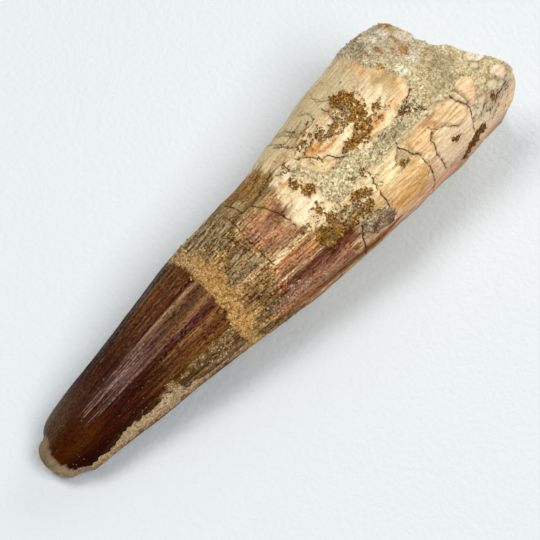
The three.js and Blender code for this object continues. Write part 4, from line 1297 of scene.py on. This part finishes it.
crumbSpots = [
    (19.4, 146, 0.7, 4.5), (21.2, 143.5, 0.9, 6), (24, 145, 0.6, 3), (25.8, 140, 0.9, 2),
    (27.7, 142, 0.6, 4), (29.8, 143, 0.7, 5), (32.6, 143, 1.6, 7), (26.4, 149, 0.8, 3),
    (28.6, 155, 0.9, 3), (31.6, 154, 1.6, 6), (45.2, 146, 0.9, 2.4), (46.6, 147.5, 0.5, 2),
    (47.6, 153, 0.7, 3.4), (50, 160, 0.5, 3), (51, 157.5, 0.6, 2.6), (30.4, 161, 1.4, 3),
    (42, 150, 2, 7),
]

rockLook = {
    "corners": (0.72, 1.28),     # how far out a corner lies, in radii
    "longest": 1.2,              # the most that a rock is drawn out
    "sinking": 0.35,             # radii up or down from the skin
    "toneSpread": 0.6,
    "toneLimits": (-0.9, 0.2),   # as powers of e; those above the upper one turn paler
    "paler": (0.6, 0.65),        # at most, and how much of that
    "paleTint": "#ecdfc0",       # what the lighter grains tend to
    "jitter": 0.09,              # mm that a rock may lie off its vertex
    "grit": (6, 3, 0.7),         # to the mm, octaves, roughness
    "sheen": 0.15,
    "sandSquash": 0.6,
    "sandTones": (0.8, 1.2),
    "sandSeeds": (41, 5),        # for the places, then for the shapes
}

crustLook = {
    "nodules": 620,
    "radii": (0.05, 0.11),       # the smallest in mm, and how much larger the largest
    "colours": ("#8a5e22", "#6a4416", "#ac7c38", "#4a2c0e", "#d0aa68", "#e0d0b0"),
    "dark": ("#64361e", 0.6),
    "squash": 0.5,
    "tones": (0.75, 1.25),
    "seeds": (17, 9),
}


def scatterRocks(name, spots, normals, radii, colours, squash, seed):
    # one mesh of small rough rocks, each sunk a little into the tooth
    generator = np.random.default_rng(seed)
    rocks = addObject(name, bpy.ops.mesh.primitive_ico_sphere_add, subdivisions=1, radius=1)
    corners = readVertices(rocks.data, "co")
    faces = np.array([list(face.vertices) for face in rocks.data.polygons])
    count = len(spots)
    shapes = corners[None] * generator.uniform(*rockLook["corners"], (count, len(corners), 1))
    shapes = shapes * generator.uniform(squash, rockLook["longest"], (count, 1, 3))
    turned = generator.normal(size=(count, 3, 3))
    turned = np.array([np.linalg.qr(matrix)[0] for matrix in turned])
    turned *= np.sign(np.linalg.det(turned))[:, None, None]
    shapes = np.einsum("nij,nkj->nki", turned, shapes) * radii[:, None, None]
    sinking = generator.uniform(-rockLook["sinking"], rockLook["sinking"], count)
    sunk = spots + normals * (radii * sinking)[:, None]
    places = keepInside(((shapes + sunk[:, None]) / 1000).reshape(-1, 3))
    firstCorners = np.arange(count) * len(corners)
    allFaces = (faces[None] + firstCorners[:, None, None]).reshape(-1, 3)
    mesh = bpy.data.meshes.new(name)
    mesh.from_pydata(places.tolist(), [], allFaces.tolist())
    rocks.data = mesh
    writeTint(mesh, np.repeat(colours, len(corners), axis=0))
    mesh.update()
    return rocks


def makeRockMaterial(name, darkest, lightest):
    m = MaterialNodes(name)
    grit = m.mottle(m.millimetres(), *rockLook["grit"])
    tone = grit.between(0.3, 0.7) * (lightest - darkest) + darkest
    colour = m.toned(m.painted("tint", "Color"), tone, tone, tone)
    return m.finish(Base_Color=colour, Roughness=0.8 + 0.4 * (grit - 0.5),
                    Normal=m.bump(0.5, 0.12 * grit), Specular_IOR_Level=rockLook["sheen"])


def pickSpots(weight, most, count, generator, skin):
    # vertices drawn at random, the heavier the likelier, and places beside them in mm
    weight = np.clip(weight, 0, most) * skin.area
    chosen = generator.choice(len(weight), count, p=weight / weight.sum())
    normals = skin.normals[chosen]
    jitter = generator.normal(0, rockLook["jitter"], (count, 3))
    across = jitter - (jitter * normals).sum(1)[:, None] * normals
    return chosen, skin.places[chosen] * 1000 + across


def shadeRocks(beneath, own, share, generator):
    # each rock takes the colour of the skin beneath it, made lighter or darker
    colours = beneath * (1 - share) + linearColour(own) * share
    amount = generator.normal(0, rockLook["toneSpread"], (len(colours), 1))
    darkest, lightest = rockLook["toneLimits"]
    colours = colours * np.exp(np.clip(amount, darkest, lightest))
    most, strength = rockLook["paler"]
    paler = np.clip(amount - lightest, 0, most) * strength
    return colours + (linearColour(rockLook["paleTint"]) - colours) * paler


def makeGrains(skin, cover):
    spotSeed, shapeSeed = rockLook["sandSeeds"]
    generator = np.random.default_rng(spotSeed)
    neckSide = 0.15 + within(skin.turn, 80, 105, 160, 175)
    covers = {
        "looseSand": cover["sandstone"] * (1 - 0.6 * rise(79, 82, skin.along)),
        "band": cover["band"] * within(skin.turn, 25, 45, 150, 168),
        "ledge": cover["ledge"],
        "neck": cover["neck"] * neckSide * (1.2 + skin.lump) ** 2,
        "crumbs": spotCover(crumbSpots, skin, 0.4, 0.5, skin.fine),
        "paleCrumbs": spotCover(paleCrumbSpots, skin, 0.3, 0.4, skin.fine),
    }
    piles = []
    for name, count, least, most, own, share in grainPiles:
        chosen, spots = pickSpots(covers[name], 9, count, generator, skin)
        radii = least + (most - least) * generator.random(count) ** 2
        colours = shadeRocks(skin.paint[chosen], own, share, generator)
        piles.append((spots, skin.normals[chosen], radii, colours))
    spots, normals, radii, colours = map(np.concatenate, zip(*piles))
    rocks = scatterRocks("sandGrains", spots, normals, radii, colours,
                         rockLook["sandSquash"], shapeSeed)
    rocks.data.materials.append(makeRockMaterial("sandGrain", *rockLook["sandTones"]))
    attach(rocks, "root")


def makeCrustNodules(skin, cover):
    spotSeed, shapeSeed = crustLook["seeds"]
    generator = np.random.default_rng(spotSeed)
    count = crustLook["nodules"]
    weight = cover["crust"] + 0.08 * rise(0.1, 0.3, cover["crustField"])
    chosen, spots = pickSpots(weight, 2, count, generator, skin)
    least, more = crustLook["radii"]
    radii = least + more * generator.random(count) ** 2
    palette = np.array([linearColour(colour) for colour in crustLook["colours"]])
    colours = palette[generator.integers(0, len(palette), count)]
    darkColour, share = crustLook["dark"]
    layOver(colours, darkColour, cover["crustDark"][chosen] * share)
    rocks = scatterRocks("ironCrusts", spots, skin.normals[chosen], radii, colours,
                         crustLook["squash"], shapeSeed)
    rocks.data.materials.append(makeRockMaterial("ironCrust", *crustLook["tones"]))
    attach(rocks, "root")


floorLook = {
    "size": 4.0,
    "height": -0.00005,
    "colour": "#e3e9ec",
    "roughness": 0.55,
    "leather": (1, 2, 0.5),      # to the mm, octaves, roughness
    "leatherDepth": 0.0006,
    "bump": 0.32,
}


def makeFloor():
    floor = addObject("floor", bpy.ops.mesh.primitive_plane_add, size=floorLook["size"],
                      location=(0, 0, floorLook["height"]))
    bpy.ops.object.transform_apply(location=True, rotation=True, scale=True)
    m = MaterialNodes("paleFloor")
    leather = m.mottle(m.millimetres(), *floorLook["leather"])
    bump = m.bump(floorLook["bump"], leather, floorLook["leatherDepth"])
    floor.data.materials.append(m.finish(Base_Color=floorLook["colour"],
                                         Roughness=floorLook["roughness"], Normal=bump))


light = {
    "roomStrength": 0.18,
    "roomColour": "#e6eefa",
    "panelColour": "#fffdfa",
    # name, degrees from straight up, compass degrees from +X, metres away, side in metres,
    # watts, and whether it shows as a glint
    "panels": [
        ("nearPanel", 31, 282, 0.66, 0.34, 2.42, False),
        ("farPanel", 25, 118, 0.66, 0.26, 1.97, True),
        ("endPanel", 68, 8, 0.70, 0.40, 1.80, True),
    ],
}


def makeLights():
    world = bpy.data.worlds.new("softRoom")
    bpy.context.scene.world = world
    world.use_nodes = True
    background = world.node_tree.nodes["Background"]
    background.inputs["Color"].default_value = (*linearColour(light["roomColour"]), 1)
    background.inputs["Strength"].default_value = light["roomStrength"]
    for name, tilt, compass, away, side, watts, glints in light["panels"]:
        tilt, compass = math.radians(tilt), math.radians(compass)
        flat = math.sin(tilt)
        toLight = Vector((math.cos(compass) * flat, math.sin(compass) * flat, math.cos(tilt)))
        panel = addObject(name, bpy.ops.object.light_add, type="AREA", location=toLight * away)
        panel.data.size = side
        panel.data.energy = watts
        panel.visible_glossy = glints
        panel.data.color = linearColour(light["panelColour"])
        panel.rotation_euler = (-toLight).to_track_quat("-Z", "Y").to_euler()


view = {
    "azimuth": -46,
    "elevation": 66,
    "distance": 0.330,
    "lens": 138.4,
    "aim": (-0.0025, -0.0037, 0.0080),
}


def makeCamera():
    azimuth, elevation = math.radians(view["azimuth"]), math.radians(view["elevation"])
    flat = math.cos(elevation)
    back = Vector((math.sin(azimuth) * flat, -math.cos(azimuth) * flat, math.sin(elevation)))
    camera = addObject("Camera", bpy.ops.object.camera_add,
                       location=Vector(view["aim"]) + back * view["distance"])
    camera.rotation_euler = (-back).to_track_quat("-Z", "Y").to_euler()
    camera.data.lens = view["lens"]
    camera.data.sensor_width = 36
    camera.data.clip_start = 0.01
    bpy.context.scene.camera = camera


makeCamera()
makeLights()
makeFloor()
print("camera, lights and floor made")

skin, cover = makeTooth()
makeGrains(skin, cover)
makeCrustNodules(skin, cover)
print("grains and crusts made")

bpy.context.scene.view_settings.view_transform = "Standard"
